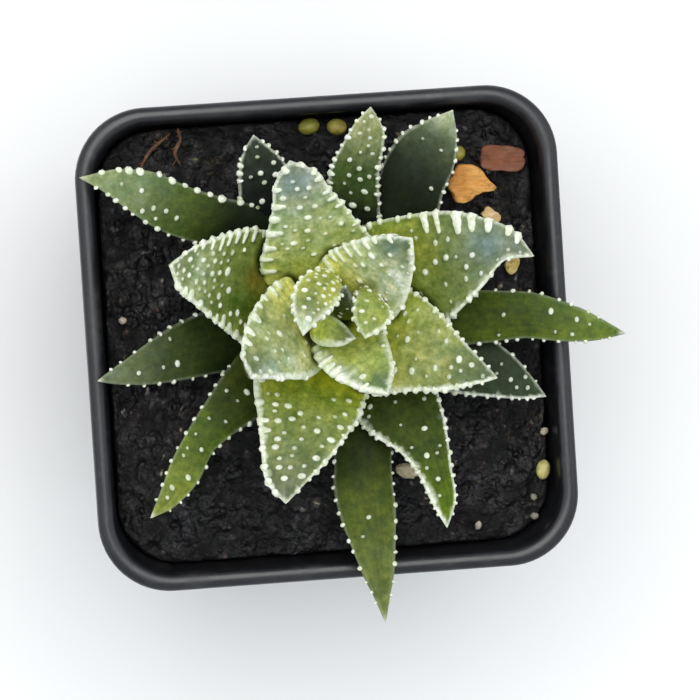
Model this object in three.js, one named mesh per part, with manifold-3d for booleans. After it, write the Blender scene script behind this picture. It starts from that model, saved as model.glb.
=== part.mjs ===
// Young haworthia growing in a small square nursery pot.
// Millimetres, +Z up. The origin is the centre of the pot's base, on the plane it stands on.
// +X and +Y run along the pot's sides.
import * as THREE from 'three';
import { mergeVertices } from 'three/addons/utils/BufferGeometryUtils.js';
import Module from 'manifold-3d';

const wasm = await Module();
wasm.setup();

// ---------------------------------------------------------------- driving dimensions (mm)
const POT_TOP = 60.5;          // outside width across the rim
const POT_FOOT = 45.2;         // outside width across the foot
const POT_H = 58.0;            // height to the top of the rim
const WALL = 0.95;             // wall thickness
const FLOOR_T = 1.1;           // floor thickness
const FLOOR_LIFT = 1.8;        // the drained part of the floor stands off the table by this much
const RIM_W = 2.2;             // rolled rim, width over the wall
const RIM_H = 3.0;             // rolled rim, depth
const R_TOP = 9.0;             // corner radius at the rim
const R_FOOT = 7.0;            // corner radius at the foot
const HOLE_D = 6.0;            // drain holes
const HOLE_AT = 13.6;          // drain hole centres, from the middle, both ways
const GAP = 0.3;               // clearance between pieces that touch
const SOIL_TOP = 51.9;         // mean level of the compost
const SOIL_BOTTOM = FLOOR_LIFT + FLOOR_T + GAP;
const STEM = [-0.06, 2.62];     // axis of the short stem
const CORNER_STEPS = 5;        // facets in a quarter corner

// Leaf margins: nine points from base to tip along the left and the right edge, seen along the leaf.
// up and low are how far the upper and the lower face bulge from the plane of the margins.
const LEAVES = {
  leaf_01: {
    left: [[-5.14, 3.43, 54.2], [-6.71, 6.99, 55.78], [-8.78, 10.24, 57.34], [-12.35, 11.93, 58.63], [-16.18, 13.27, 59.7], [-19.99, 14.75, 60.57], [-23.36, 17.14, 61.22], [-26.45, 19.94, 61.63], [-29.94, 22.24, 61.8]],
    right: [[-0.92, 7.69, 54.2], [-2.79, 11.53, 55.75], [-4.87, 15.25, 57.31], [-8.54, 17.35, 58.66], [-12.77, 18.62, 59.72], [-16.85, 20.4, 60.59], [-20.98, 22.18, 61.22], [-25.45, 22.82, 61.63], [-29.94, 22.24, 61.8]],
    up: 0.25, low: 2.9,
  },
  leaf_02: {
    left: [[-3.71, -1.2, 53.2], [-6.65, -2.52, 54.3], [-9.69, -3.54, 55.41], [-12.91, -3.42, 56.48], [-16.14, -3.65, 57.51], [-19.41, -3.89, 58.44], [-22.7, -4.03, 59.27], [-26.03, -3.85, 59.92], [-29.32, -3.14, 60.4]],
    right: [[-4.93, 4.67, 53.2], [-8.17, 4.78, 54.3], [-11.42, 4.91, 55.39], [-14.63, 4.5, 56.47], [-17.74, 3.48, 57.48], [-20.74, 2.13, 58.43], [-23.66, 0.54, 59.26], [-26.49, -1.26, 59.93], [-29.32, -3.14, 60.4]],
    up: 0.25, low: 2.6,
  },
  leaf_03: {
    left: [[-1.16, -2.26, 55.2], [-3.81, -4.44, 57.06], [-6.5, -6.65, 58.8], [-9.39, -8.84, 60.2], [-12.69, -10.58, 61.3], [-15.67, -12.94, 62.12], [-17.75, -16.18, 62.64], [-20.42, -18.95, 62.85], [-24.02, -20.43, 62.8]],
    right: [[-5.05, 2.32, 55.2], [-8.24, 0.74, 57], [-11.35, -1.02, 58.75], [-13.85, -3.75, 60.19], [-16.22, -6.76, 61.3], [-18.58, -9.86, 62.13], [-20.72, -13.19, 62.64], [-22.34, -16.82, 62.85], [-24.02, -20.43, 62.8]],
    up: 0.25, low: 3,
  },
  leaf_04: {
    left: [[3.79, -0.8, 54.2], [6.21, -4.36, 56.05], [7.55, -8.41, 57.85], [7.08, -12.81, 59.38], [6.65, -17.28, 60.69], [6.51, -21.87, 61.64], [6.14, -26.52, 62.18], [5.42, -31.14, 62.11], [4.48, -35.71, 61.6]],
    right: [[-2.06, -2.13, 54.2], [-0.51, -5.94, 56.07], [-0.67, -10.09, 57.81], [-0.44, -14.33, 59.37], [-0.74, -18.65, 60.67], [-0.07, -23.01, 61.64], [1.28, -27.29, 62.17], [2.89, -31.51, 62.17], [4.48, -35.71, 61.6]],
    up: 0.25, low: 3,
  },
  leaf_05: {
    left: [[4.64, 1.05, 55.4], [7.64, -0.39, 57.54], [10.43, -2.25, 59.6], [12.38, -5.22, 61.3], [13.06, -8.86, 62.66], [13.44, -12.66, 63.69], [13.62, -16.57, 64.29], [13.96, -20.49, 64.47], [12.66, -24.21, 64.2]],
    right: [[-0.31, -2.33, 55.4], [1.66, -4.51, 57.49], [2.88, -7.12, 59.54], [2.78, -10.31, 61.19], [4.97, -12.65, 62.6], [7.69, -14.77, 63.65], [9.64, -17.68, 64.28], [10.96, -21.04, 64.47], [12.66, -24.21, 64.2]],
    up: 0.25, low: 3.1,
  },
  leaf_06: {
    left: [[5.13, 3.59, 53.2], [8.11, 2.58, 54.43], [11.1, 1.58, 55.63], [14.19, 0.73, 56.68], [17.32, -0.11, 57.59], [20.32, -1.44, 58.36], [22.82, -3.59, 58.95], [24.85, -6.25, 59.38], [26.66, -9.09, 59.6]],
    right: [[2.69, -1.89, 53.2], [5.35, -3.43, 54.4], [8.02, -4.97, 55.59], [10.82, -6.33, 56.68], [13.8, -7.42, 57.59], [16.92, -8.16, 58.36], [20.13, -8.63, 58.95], [23.37, -9.1, 59.37], [26.66, -9.09, 59.6]],
    up: 0.25, low: 2.6,
  },
  leaf_07: {
    left: [[4.36, 5.19, 54.4], [8.42, 5.19, 56.16], [12.51, 5.13, 57.85], [16.65, 4.92, 59.38], [20.87, 4.71, 60.69], [25.14, 4.3, 61.71], [29.22, 2.72, 62.35], [33.13, 0.69, 62.53], [36.83, -1.71, 62.2]],
    right: [[3.77, -0.78, 54.4], [7.71, -1.26, 56.16], [11.67, -1.66, 57.85], [15.72, -1.83, 59.38], [19.84, -1.73, 60.7], [24.02, -1.48, 61.69], [28.26, -2.07, 62.35], [32.56, -2.31, 62.53], [36.83, -1.71, 62.2]],
    up: 0.25, low: 3,
  },
  leaf_08: {
    left: [[0.31, 7.89, 53.2], [2.47, 10.37, 54.42], [4.48, 12.98, 55.6], [5.93, 15.99, 56.67], [7.23, 19.1, 57.63], [8.59, 22.22, 58.48], [10.75, 24.83, 59.21], [13.82, 26.35, 59.79], [17.12, 27.48, 60.2]],
    right: [[5, 4.14, 53.2], [7.44, 6.48, 54.39], [9.88, 8.82, 55.59], [12.24, 11.28, 56.7], [14.35, 14, 57.67], [15.45, 17.3, 58.51], [17.04, 20.42, 59.23], [17.37, 23.93, 59.79], [17.12, 27.48, 60.2]],
    up: 0.25, low: 2.6,
  },
  leaf_09: {
    left: [[-1.72, 7.43, 54.6], [-1.05, 10.03, 56.17], [-0.37, 12.65, 57.68], [0.28, 15.41, 58.95], [0.88, 18.29, 59.95], [1.38, 21.26, 60.71], [2.83, 23.93, 61.22], [4.5, 26.53, 61.44], [6.78, 28.6, 61.4]],
    right: [[4.01, 5.68, 54.6], [5.17, 8.19, 56.15], [6.28, 10.73, 57.68], [7.02, 13.52, 58.98], [7.2, 16.52, 59.97], [7.16, 19.59, 60.73], [7.8, 22.64, 61.22], [8.15, 25.77, 61.44], [6.78, 28.6, 61.4]],
    up: 0.25, low: 2.8,
  },
  leaf_10: {
    left: [[-4.44, 5.53, 53.4], [-5.57, 8, 54.56], [-6.71, 10.46, 55.72], [-8.01, 12.88, 56.81], [-9.59, 15.18, 57.77], [-10.04, 17.94, 58.64], [-9.97, 20.8, 59.38], [-9.45, 23.64, 59.97], [-7.95, 26.04, 60.4]],
    right: [[1.14, 7.73, 53.4], [-0.05, 9.96, 54.56], [-1.22, 12.21, 55.72], [-2.08, 14.61, 56.81], [-2.48, 17.18, 57.78], [-3.01, 19.77, 58.64], [-4.11, 22.19, 59.39], [-5.9, 24.23, 59.98], [-7.95, 26.04, 60.4]],
    up: 0.25, low: 2.5,
  },
  leaf_11: {
    left: [[-4.48, 4.86, 57.4], [-6.4, 6.11, 59.94], [-7.78, 7.9, 62.48], [-8.49, 10.12, 64.98], [-8.07, 12.44, 67.44], [-7.63, 14.89, 69.78], [-7.12, 17.5, 71.92], [-6.69, 20.36, 73.74], [-4.83, 22.9, 75]],
    right: [[2.42, 6.91, 57.4], [4.3, 7.92, 60.2], [5.43, 9.98, 62.88], [5.26, 12.48, 65.4], [3.71, 14.59, 67.8], [2.05, 16.81, 70.06], [0.09, 18.98, 72.1], [-1.85, 21.43, 73.82], [-4.83, 22.9, 75]],
    up: 0.5, low: 4.8,
  },
  leaf_12: {
    left: [[-4.65, 1.14, 57], [-6.39, -0.75, 59.25], [-8.94, -0.63, 61.49], [-11.25, 0.54, 63.74], [-13.28, 2.19, 65.95], [-15.26, 4, 68.1], [-17.25, 5.94, 70.11], [-19.17, 8.18, 71.88], [-20.13, 11.17, 73.2]],
    right: [[-1.82, 7.11, 57], [-3.33, 9.35, 59.22], [-4.87, 11.58, 61.44], [-6.64, 13.6, 63.67], [-9.06, 14.7, 65.89], [-11.79, 14.45, 68.06], [-14.57, 13.86, 70.09], [-17.43, 12.94, 71.88], [-20.13, 11.17, 73.2]],
    up: -0.9, low: 4.6,
  },
  leaf_13: {
    left: [[2.26, 7.41, 56.2], [1.96, 10.98, 58.75], [4.03, 13.56, 61.51], [7.29, 14.6, 64.21], [10.81, 15.09, 66.82], [14.51, 15.23, 69.16], [18.41, 14.41, 71.01], [22.15, 12.56, 72.07], [24.68, 9.17, 72]],
    right: [[4.69, 0.21, 56.2], [7.12, -0.79, 58.91], [9.6, -1.27, 61.67], [11.98, -0.03, 64.29], [14.18, 1.75, 66.77], [16.3, 3.88, 69.04], [18.53, 6.28, 70.9], [20.99, 8.86, 72.04], [24.68, 9.17, 72]],
    up: 0.3, low: 5,
  },
  leaf_14: {
    left: [[4.39, 4.73, 57.6], [5.4, 6.98, 60.17], [7.15, 7.37, 63.02], [9.25, 6.03, 65.57], [11.39, 4.65, 68.06], [13.16, 2.54, 70.31], [14.74, -0.02, 72.21], [16.8, -2.55, 73.64], [18.93, -5.29, 74.4]],
    right: [[1.74, -1.97, 57.6], [1.22, -4.17, 60.27], [2.1, -5.9, 63.06], [4.34, -6.63, 65.63], [6.84, -6.7, 68.08], [9.52, -6.55, 70.31], [12.45, -6.52, 72.22], [15.61, -6.11, 73.64], [18.93, -5.29, 74.4]],
    up: 0.5, low: 4.8,
  },
  leaf_15: {
    left: [[2.26, -2.14, 56.4], [4.66, -3.4, 58.97], [4.73, -5.41, 61.66], [3.31, -7.76, 64.19], [1.94, -10.19, 66.68], [-0.2, -12.22, 68.97], [-2.51, -14.37, 70.97], [-5.17, -16.53, 72.45], [-7.92, -18.95, 73]],
    right: [[-4.89, 0.46, 56.4], [-7.86, 0.83, 58.72], [-9.56, -1, 61.34], [-10.14, -3.74, 63.9], [-10.32, -6.54, 66.45], [-10.29, -9.49, 68.84], [-10.41, -12.65, 70.93], [-10.14, -16.1, 72.45], [-7.92, -18.95, 73]],
    up: 0.4, low: 5,
  },
  leaf_16: {
    left: [[-2.04, -1, 59.4], [-1.62, -1.84, 62.05], [-1.44, -2.66, 64.73], [-2.29, -3.36, 67.31], [-3.69, -3.85, 69.7], [-5.22, -3.84, 72.05], [-6.97, -3.54, 74.24], [-8.96, -3.25, 76.2], [-11.38, -2.96, 77.6]],
    right: [[-3.56, 4.8, 59.4], [-4.2, 6.78, 62.02], [-5.14, 8.33, 64.79], [-7.08, 7.67, 67.38], [-8.87, 6.46, 69.93], [-10.44, 4.79, 72.36], [-11.71, 2.64, 74.58], [-12.36, -0.05, 76.43], [-11.38, -2.96, 77.6]],
    up: 0.4, low: 4.2,
  },
  leaf_17: {
    left: [[-0.23, 6.74, 59.4], [-1.24, 8.05, 61.94], [-1.27, 9.42, 64.62], [-0.4, 10.73, 67.22], [0.73, 11.83, 69.81], [2.26, 12.47, 72.34], [4.15, 12.84, 74.69], [6.42, 13.1, 76.67], [9.16, 12.62, 77.8]],
    right: [[4.06, 2.54, 59.4], [5.2, 2.24, 62.15], [6.34, 2.01, 64.91], [7.33, 2.57, 67.66], [8.12, 3.94, 70.2], [8.77, 5.62, 72.59], [9.24, 7.55, 74.83], [9.37, 9.87, 76.7], [9.16, 12.62, 77.8]],
    up: 0.4, low: 4.2,
  },
  leaf_18: {
    left: [[3.53, 2.07, 60.4], [4.28, 2.93, 62.86], [4.93, 2.86, 65.46], [5.41, 1.91, 67.95], [5.78, 0.8, 70.4], [5.99, -0.47, 72.79], [6.08, -1.98, 75.04], [5.9, -3.85, 76.99], [4.93, -6.03, 78.2]],
    right: [[-0.7, -0.95, 60.4], [-2.08, 0.34, 62.73], [-3.14, 0.93, 65.38], [-2.95, -0.6, 67.93], [-2.55, -2.16, 70.47], [-1.55, -3.52, 72.94], [0.07, -4.59, 75.23], [2.17, -5.58, 77.12], [4.93, -6.03, 78.2]],
    up: 0.4, low: 3.8,
  },
  leaf_19: {
    left: [[-2.22, 3.71, 62], [-1.43, 4.51, 64.66], [-0.59, 5.38, 67.27], [0.23, 6.21, 69.91], [0.84, 6.81, 72.66], [0.39, 6.11, 75.28], [-1.07, 4.76, 77.36], [-3.02, 3.53, 79.07], [-5.07, 1.89, 80.2]],
    right: [[0.5, 4.97, 62], [0.48, 6.38, 64.79], [0.44, 7.77, 67.58], [-0.27, 8.88, 70.39], [-2.08, 9.3, 72.88], [-4.02, 8.89, 75.28], [-5.51, 7.24, 77.43], [-5.91, 4.68, 79.13], [-5.07, 1.89, 80.2]],
    up: 0.5, low: 2.8,
  },
  leaf_20: {
    left: [[1.41, 4.46, 62], [2.27, 4.92, 64.45], [3.13, 5.44, 66.88], [3.99, 5.89, 69.33], [4.84, 5.99, 71.82], [5.49, 4.85, 74.07], [6.36, 3.43, 76.06], [4.85, 1.89, 77.51], [2.58, 0.92, 78.4]],
    right: [[2.14, 1.76, 62], [2.24, 2.85, 64.28], [2.36, 4.03, 66.53], [2.47, 5.17, 68.79], [2.53, 6.14, 71.13], [2.34, 6.24, 73.59], [1.79, 4.74, 75.54], [1.69, 2.92, 77.29], [2.58, 0.92, 78.4]],
    up: 0.5, low: 2.2,
  },
  leaf_21: {
    left: [[-0.27, 0.71, 63], [-0.71, 1.39, 64.89], [-1.19, 2.07, 66.76], [-1.6, 2.74, 68.66], [-1.7, 3.32, 70.62], [-1.02, 3.66, 72.51], [-0.3, 3.24, 74.37], [0.54, 2.36, 76.01], [1.57, 0.95, 77]],
    right: [[-1.97, 2.41, 63], [-2.46, 1.98, 64.94], [-2.95, 1.55, 66.89], [-3.18, 1.1, 68.87], [-2.9, 0.58, 70.83], [-2.29, 0.17, 72.74], [-1.36, 0.02, 74.55], [-0.04, 0.12, 76.11], [1.57, 0.95, 77]],
    up: 0.4, low: 1.7,
  },
  leaf_22: {
    left: [[-0.57, 3.79, 64], [-0.34, 3.59, 65.63], [-0.17, 3.55, 67.27], [-0.24, 3.94, 68.87], [-0.39, 4.54, 70.4], [-0.44, 5.16, 71.93], [-0.32, 5.76, 73.47], [0.02, 6.46, 74.93], [0.84, 7.4, 76]],
    right: [[0.97, 3.38, 64], [1.4, 3.23, 65.69], [1.86, 3.05, 67.38], [2.25, 2.98, 69.09], [2.38, 3.29, 70.8], [2.16, 4.07, 72.35], [1.85, 5.01, 73.8], [1.57, 6.06, 75.18], [0.84, 7.4, 76]],
    up: 0.3, low: 1.2,
  },
};

// Loose pieces lying on the compost: [x, y, length, width, height, turn in degrees]
const GRAINS = {
  bark_chip_01: [19.57, 17.92, 6.8, 5.3, 2.6, -18],
  bark_chip_02: [23.75, 21.01, 6, 3.5, 1.9, -8],
  bark_chip_03: [21.95, 13.65, 2.6, 2, 1.5, -40],
  bark_chip_04: [24.19, 7.22, 2.5, 1.9, 1.5, 60],
  prill_01: [18.05, 21.78, 2.2, 2, 1.8, 0],
  prill_02: [-0.46, 26.47, 2.8, 2.1, 1.9, 10],
  prill_03: [3.06, 26.16, 2.6, 2.1, 1.9, -10],
  prill_04: [26.4, -18.81, 2.6, 1.8, 1.8, 78],
  perlite_01: [-25.25, 3.69, 1.1, 1, 0.9, 0],
  perlite_02: [26.98, -13.98, 1.2, 1, 0.9, 40],
  perlite_03: [25.1, -24.57, 1.1, 0.95, 0.9, 10],
  perlite_04: [17.84, -25.25, 1.2, 0.9, 0.9, 70],
  perlite_05: [25.12, -22.18, 1, 0.9, 0.8, 120],
  perlite_06: [9.3, -17.71, 3.2, 2, 1.6, -15],
};

// Fibres lying on the compost: points of their centre lines
const FIBRES = {
  fibre_01: { points: [[-21.96, 22.38, 0], [-20.72, 24.51, 0.3], [-19.31, 25.75, 0.5], [-17.92, 26.76, 0]], thick: 0.3 },
  fibre_02: { points: [[-16.77, 27.35, 0.1], [-16.65, 25.8, 0.5], [-17.41, 24.3, 0.4], [-16.65, 22.48, 0]], thick: 0.3 },
};

// ---------------------------------------------------------------- colours
const BLACK_PLASTIC = { color: 0x17181b, roughness: 0.5, metalness: 0 };
const PEAT = { color: 0x1e1612, roughness: 0.95, metalness: 0 };
const STEM_SKIN = { color: 0xb9b184, roughness: 0.7, metalness: 0 };
const LEAF_OUTER = { color: 0x3d5a27, roughness: 0.45, metalness: 0 };
const LEAF_MIDDLE = { color: 0x6f8a4e, roughness: 0.45, metalness: 0 };
const LEAF_INNER = { color: 0x93a743, roughness: 0.45, metalness: 0 };
const BARK = { color: 0xb9823f, roughness: 0.85, metalness: 0 };
const PRILL = { color: 0xb9a44a, roughness: 0.5, metalness: 0 };
const PERLITE = { color: 0xd9d4c6, roughness: 0.9, metalness: 0 };
const FIBRE = { color: 0x8a5a33, roughness: 0.9, metalness: 0 };

// ---------------------------------------------------------------- helpers
// A closed body from rings of equal length; each end is closed by a point.
function loft(start, rings, end) {
  const v = [], t = [];
  const n = rings[0].length;
  v.push(start);
  for (const r of rings) v.push(...r);
  v.push(end);
  const at = (k, i) => 1 + k * n + ((i % n) + n) % n;
  for (let i = 0; i < n; i++) t.push([0, at(0, i + 1), at(0, i)]);
  for (let k = 0; k + 1 < rings.length; k++)
    for (let i = 0; i < n; i++) {
      t.push([at(k, i), at(k, i + 1), at(k + 1, i + 1)]);
      t.push([at(k, i), at(k + 1, i + 1), at(k + 1, i)]);
    }
  const last = v.length - 1;
  for (let i = 0; i < n; i++) t.push([last, at(rings.length - 1, i), at(rings.length - 1, i + 1)]);
  return bodyOf(v, t);
}

function volume(v, t) {
  let s = 0;
  for (const [a, b, c] of t) {
    const p = v[a], q = v[b], r = v[c];
    s += p[0] * (q[1] * r[2] - q[2] * r[1]) - p[1] * (q[0] * r[2] - q[2] * r[0]) + p[2] * (q[0] * r[1] - q[1] * r[0]);
  }
  return s / 6;
}

function bodyOf(v, t) {
  if (volume(v, t) < 0) t = t.map(([a, b, c]) => [a, c, b]);
  const g = new THREE.BufferGeometry();
  g.setAttribute('position', new THREE.Float32BufferAttribute(v.flat(), 3));
  g.setIndex(t.flat());
  return g;
}

function toSolid(geometry) {
  let g = geometry.clone();
  g.deleteAttribute('normal');
  g.deleteAttribute('uv');
  g = mergeVertices(g, 1e-4);
  return new wasm.Manifold(new wasm.Mesh({
    numProp: 3,
    vertProperties: new Float32Array(g.attributes.position.array),
    triVerts: new Uint32Array(g.index.array),
  }));
}

function fromSolid(solid) {
  const m = solid.getMesh();
  const pos = new Float32Array(m.triVerts.length ? (m.vertProperties.length / m.numProp) * 3 : 0);
  for (let i = 0; i < pos.length / 3; i++)
    for (let k = 0; k < 3; k++) pos[i * 3 + k] = m.vertProperties[i * m.numProp + k];
  const g = new THREE.BufferGeometry();
  g.setAttribute('position', new THREE.BufferAttribute(pos, 3));
  g.setIndex(Array.from(m.triVerts));
  return g;
}

// The largest connected body of a geometry.
function largestBody(g) {
  const idx = g.index.array, pos = g.attributes.position.array;
  const parent = Array.from({ length: pos.length / 3 }, (_, i) => i);
  const find = (i) => { while (parent[i] !== i) { parent[i] = parent[parent[i]]; i = parent[i]; } return i; };
  for (let i = 0; i < idx.length; i += 3) {
    const a = find(idx[i]);
    parent[find(idx[i + 1])] = a;
    parent[find(idx[i + 2])] = a;
  }
  const parts = new Map();
  for (let i = 0; i < idx.length; i += 3) {
    const r = find(idx[i]);
    if (!parts.has(r)) parts.set(r, []);
    parts.get(r).push([idx[i], idx[i + 1], idx[i + 2]]);
  }
  if (parts.size < 2) return g;
  const at = (i) => [pos[i * 3], pos[i * 3 + 1], pos[i * 3 + 2]];
  let best = null, most = 0;
  for (const t of parts.values()) {
    const map = new Map(), v = [];
    const tt = t.map((f) => f.map((i) => {
      if (!map.has(i)) { map.set(i, v.length); v.push(at(i)); }
      return map.get(i);
    }));
    const size = volume(v, tt);
    if (size > most) { most = size; best = [v, tt]; }
  }
  return bodyOf(best[0], best[1]);
}

// Steady pseudo-random numbers, the same every time.
function stream(seed) {
  let s = seed >>> 0;
  return () => {
    s = (Math.imul(s, 1664525) + 1013904223) >>> 0;
    return s / 4294967296;
  };
}

// A square with rounded corners, half width h and corner radius r, at height z.
function roundedSquare(h, r, z) {
  const out = [];
  const c = h - r;
  for (let q = 0; q < 4; q++) {
    const cx = [c, -c, -c, c][q], cy = [c, c, -c, -c][q];
    for (let i = 0; i <= CORNER_STEPS; i++) {
      const a = (q + i / CORNER_STEPS) * Math.PI / 2;
      out.push([cx + r * Math.cos(a), cy + r * Math.sin(a), z]);
    }
  }
  return out;
}

const lerp = (a, b, t) => a + (b - a) * t;

// ---------------------------------------------------------------- pot
const WALL_TOP = POT_H - RIM_H;                       // where the rolled rim starts
const TOP_HALF = POT_TOP / 2;
const WALL_HALF = TOP_HALF - RIM_W + WALL;            // outside of the wall under the rim
const FOOT_HALF = POT_FOOT / 2;
const outerHalf = (z) => lerp(FOOT_HALF + 0.7, WALL_HALF, (z - 0.9) / (WALL_TOP - 0.9));
const innerHalf = (z) => outerHalf(z) - WALL;
const cornerAt = (z) => lerp(R_FOOT, R_TOP, z / POT_H);

function makePot() {
  const ring = (h, z, r) => roundedSquare(h, r ?? cornerAt(z) - (TOP_HALF - h) * 0.1, z);
  const F = FLOOR_T, L = FLOOR_LIFT;
  const rings = [
    // underside: island, drained channel, foot
    ring(7.6, 0, 3.4), ring(8.8, L, 4.2), ring(18.2, L, 5.2), ring(19.2, 0, 5.6),
    ring(FOOT_HALF, 0, R_FOOT - 0.5), ring(FOOT_HALF + 0.7, 0.9, R_FOOT),
    // outside wall and rolled rim
    ring(outerHalf(28), 28, cornerAt(28)),
    ring(WALL_HALF, WALL_TOP, 8.2), ring(TOP_HALF - 0.35, WALL_TOP + 0.15, R_TOP - 0.2),
    ring(TOP_HALF, WALL_TOP + 0.7, R_TOP), ring(TOP_HALF, POT_H - 0.7, R_TOP),
    ring(TOP_HALF - 0.35, POT_H - 0.12, R_TOP - 0.3), ring(TOP_HALF - 1.0, POT_H, R_TOP - 0.7),
    ring(TOP_HALF - 1.75, POT_H - 0.2, R_TOP - 1.1), ring(TOP_HALF - RIM_W, POT_H - 0.8, R_TOP - 1.4),
    // inside wall
    ring(WALL_HALF - WALL, WALL_TOP, 7.3), ring(innerHalf(28), 28, cornerAt(28) - WALL),
    ring(innerHalf(L + F), L + F, 6.1),
    // inside of the floor
    ring(20.5, F, 5.4), ring(19.6, F, 5.1), ring(18.6, L + F, 4.6),
    ring(8.4, L + F, 3.6), ring(7.2, F, 2.8),
  ];
  let solid = toSolid(loft([0, 0, 0], rings, [0, 0, F]));
  for (const [sx, sy] of [[1, 1], [-1, 1], [-1, -1], [1, -1]]) {
    const drill = new THREE.CylinderGeometry(HOLE_D / 2, HOLE_D / 2, 8, 16);
    drill.rotateX(Math.PI / 2);
    drill.translate(sx * HOLE_AT, sy * HOLE_AT, 2);
    solid = solid.subtract(toSolid(drill));
  }
  return fromSolid(solid);
}

// ---------------------------------------------------------------- stem with its roots, one grown piece
// [height, radius] of the stem from the root crown to the growing point
const STEM_PROFILE = [[38.5, 1.6], [40, 3.2], [44, 4.0], [49, 4.3], [52, 4.2], [55, 3.7], [58, 2.9], [61, 2.0], [63.5, 1.1], [65, 0.6]];
// roots: [start angle, start height, reach, depth, thickness, sideways bend]
const ROOTS = [
  [12, 42.5, 19, 31, 1.15, 9], [58, 41.0, 15, 33, 1.0, -12], [104, 43.0, 18, 24, 1.1, 8], [149, 41.5, 20, 30, 1.0, -9],
  [196, 42.8, 17, 34, 1.15, 12], [241, 41.2, 18, 26, 0.95, -8], [287, 42.6, 15, 32, 1.1, 10], [330, 41.0, 19, 28, 1.0, -10],
];

function disc(cx, cy, z, r, n, turn = 0) {
  return Array.from({ length: n }, (_, i) => {
    const a = turn + i / n * 2 * Math.PI;
    return [cx + r * Math.cos(a), cy + r * Math.sin(a), z];
  });
}

function stemBody(grow) {
  const rings = STEM_PROFILE.map(([z, r], k) => {
    const up = k === 0 ? -grow : k === STEM_PROFILE.length - 1 ? grow : 0;
    return disc(STEM[0], STEM[1], z + up, r + grow, 10);
  });
  const lo = STEM_PROFILE[0][0] - grow - 0.4, hi = STEM_PROFILE.at(-1)[0] + grow + 0.5;
  return toSolid(loft([STEM[0], STEM[1], lo], rings, [STEM[0], STEM[1], hi]));
}

function rootBody([deg, z0, reach, depth, thick, bend], grow) {
  const a = deg * Math.PI / 180;
  const path = [0.08, 0.25, 0.5, 0.75, 1].map((t) => {
    const out = 1.2 + reach * Math.sin(t * 1.35) / Math.sin(1.35);
    const swing = bend * Math.PI / 180 * Math.sin(t * 3.3);
    return new THREE.Vector3(
      STEM[0] + out * Math.cos(a + swing), STEM[1] + out * Math.sin(a + swing), z0 - depth * Math.pow(t, 1.5));
  });
  const curve = new THREE.CatmullRomCurve3(path);
  const rings = [];
  const steps = 6;
  for (let k = 0; k <= steps; k++) {
    const u = k / steps;
    const p = curve.getPoint(u), d = curve.getTangent(u);
    const side = new THREE.Vector3(0, 0, 1).cross(d).normalize();
    const up = d.clone().cross(side).normalize();
    const r = thick * lerp(1, 0.45, u) + grow;
    rings.push(Array.from({ length: 6 }, (_, i) => {
      const w = i / 6 * 2 * Math.PI;
      return p.clone().addScaledVector(side, r * Math.cos(w)).addScaledVector(up, r * Math.sin(w)).toArray();
    }));
  }
  const d0 = curve.getTangent(0), d1 = curve.getTangent(1);
  const s = curve.getPoint(0).addScaledVector(d0, -0.2 - grow).toArray();
  const e = curve.getPoint(1).addScaledVector(d1, 0.4 + grow).toArray();
  return toSolid(loft(s, rings, e));
}

function stemSolid(grow) {
  let solid = stemBody(grow);
  for (const r of ROOTS) solid = solid.add(rootBody(r, grow));
  return solid;
}

// ---------------------------------------------------------------- compost
function soilHeight(x, y) {
  const n = Math.sin(x * 0.31 + 1.3) * Math.cos(y * 0.27 - 0.6) * 0.5
    + Math.sin(x * 0.83 - y * 0.61 + 2.1) * 0.22 + Math.sin(x * 0.47 + y * 1.07) * 0.18;
  const d = Math.hypot(x - STEM[0], y - STEM[1]);
  return SOIL_TOP + n * Math.min(1, d / 12) - 1.1 * Math.exp(-d * d / 120);
}

function makeSoil() {
  const inset = GAP + 0.05;
  const ring = (z) => roundedSquare(innerHalf(z) - inset, cornerAt(z) - WALL - inset, z);
  const rings = [ring(SOIL_BOTTOM), ring(20), ring(36)];
  const edge = innerHalf(SOIL_TOP - 0.8) - inset;
  for (const f of [1, 0.88, 0.72, 0.54, 0.36, 0.2])
    rings.push(roundedSquare(edge * f, (cornerAt(SOIL_TOP) - WALL - inset) * f, 0)
      .map(([x, y]) => [x, y, soilHeight(x, y) - (f === 1 ? 0.5 : 0)]));
  let solid = toSolid(loft([0, 0, SOIL_BOTTOM], rings, [0, 0, soilHeight(0, 0)]));
  solid = solid.subtract(stemSolid(GAP));
  return fromSolid(solid);
}

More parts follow.
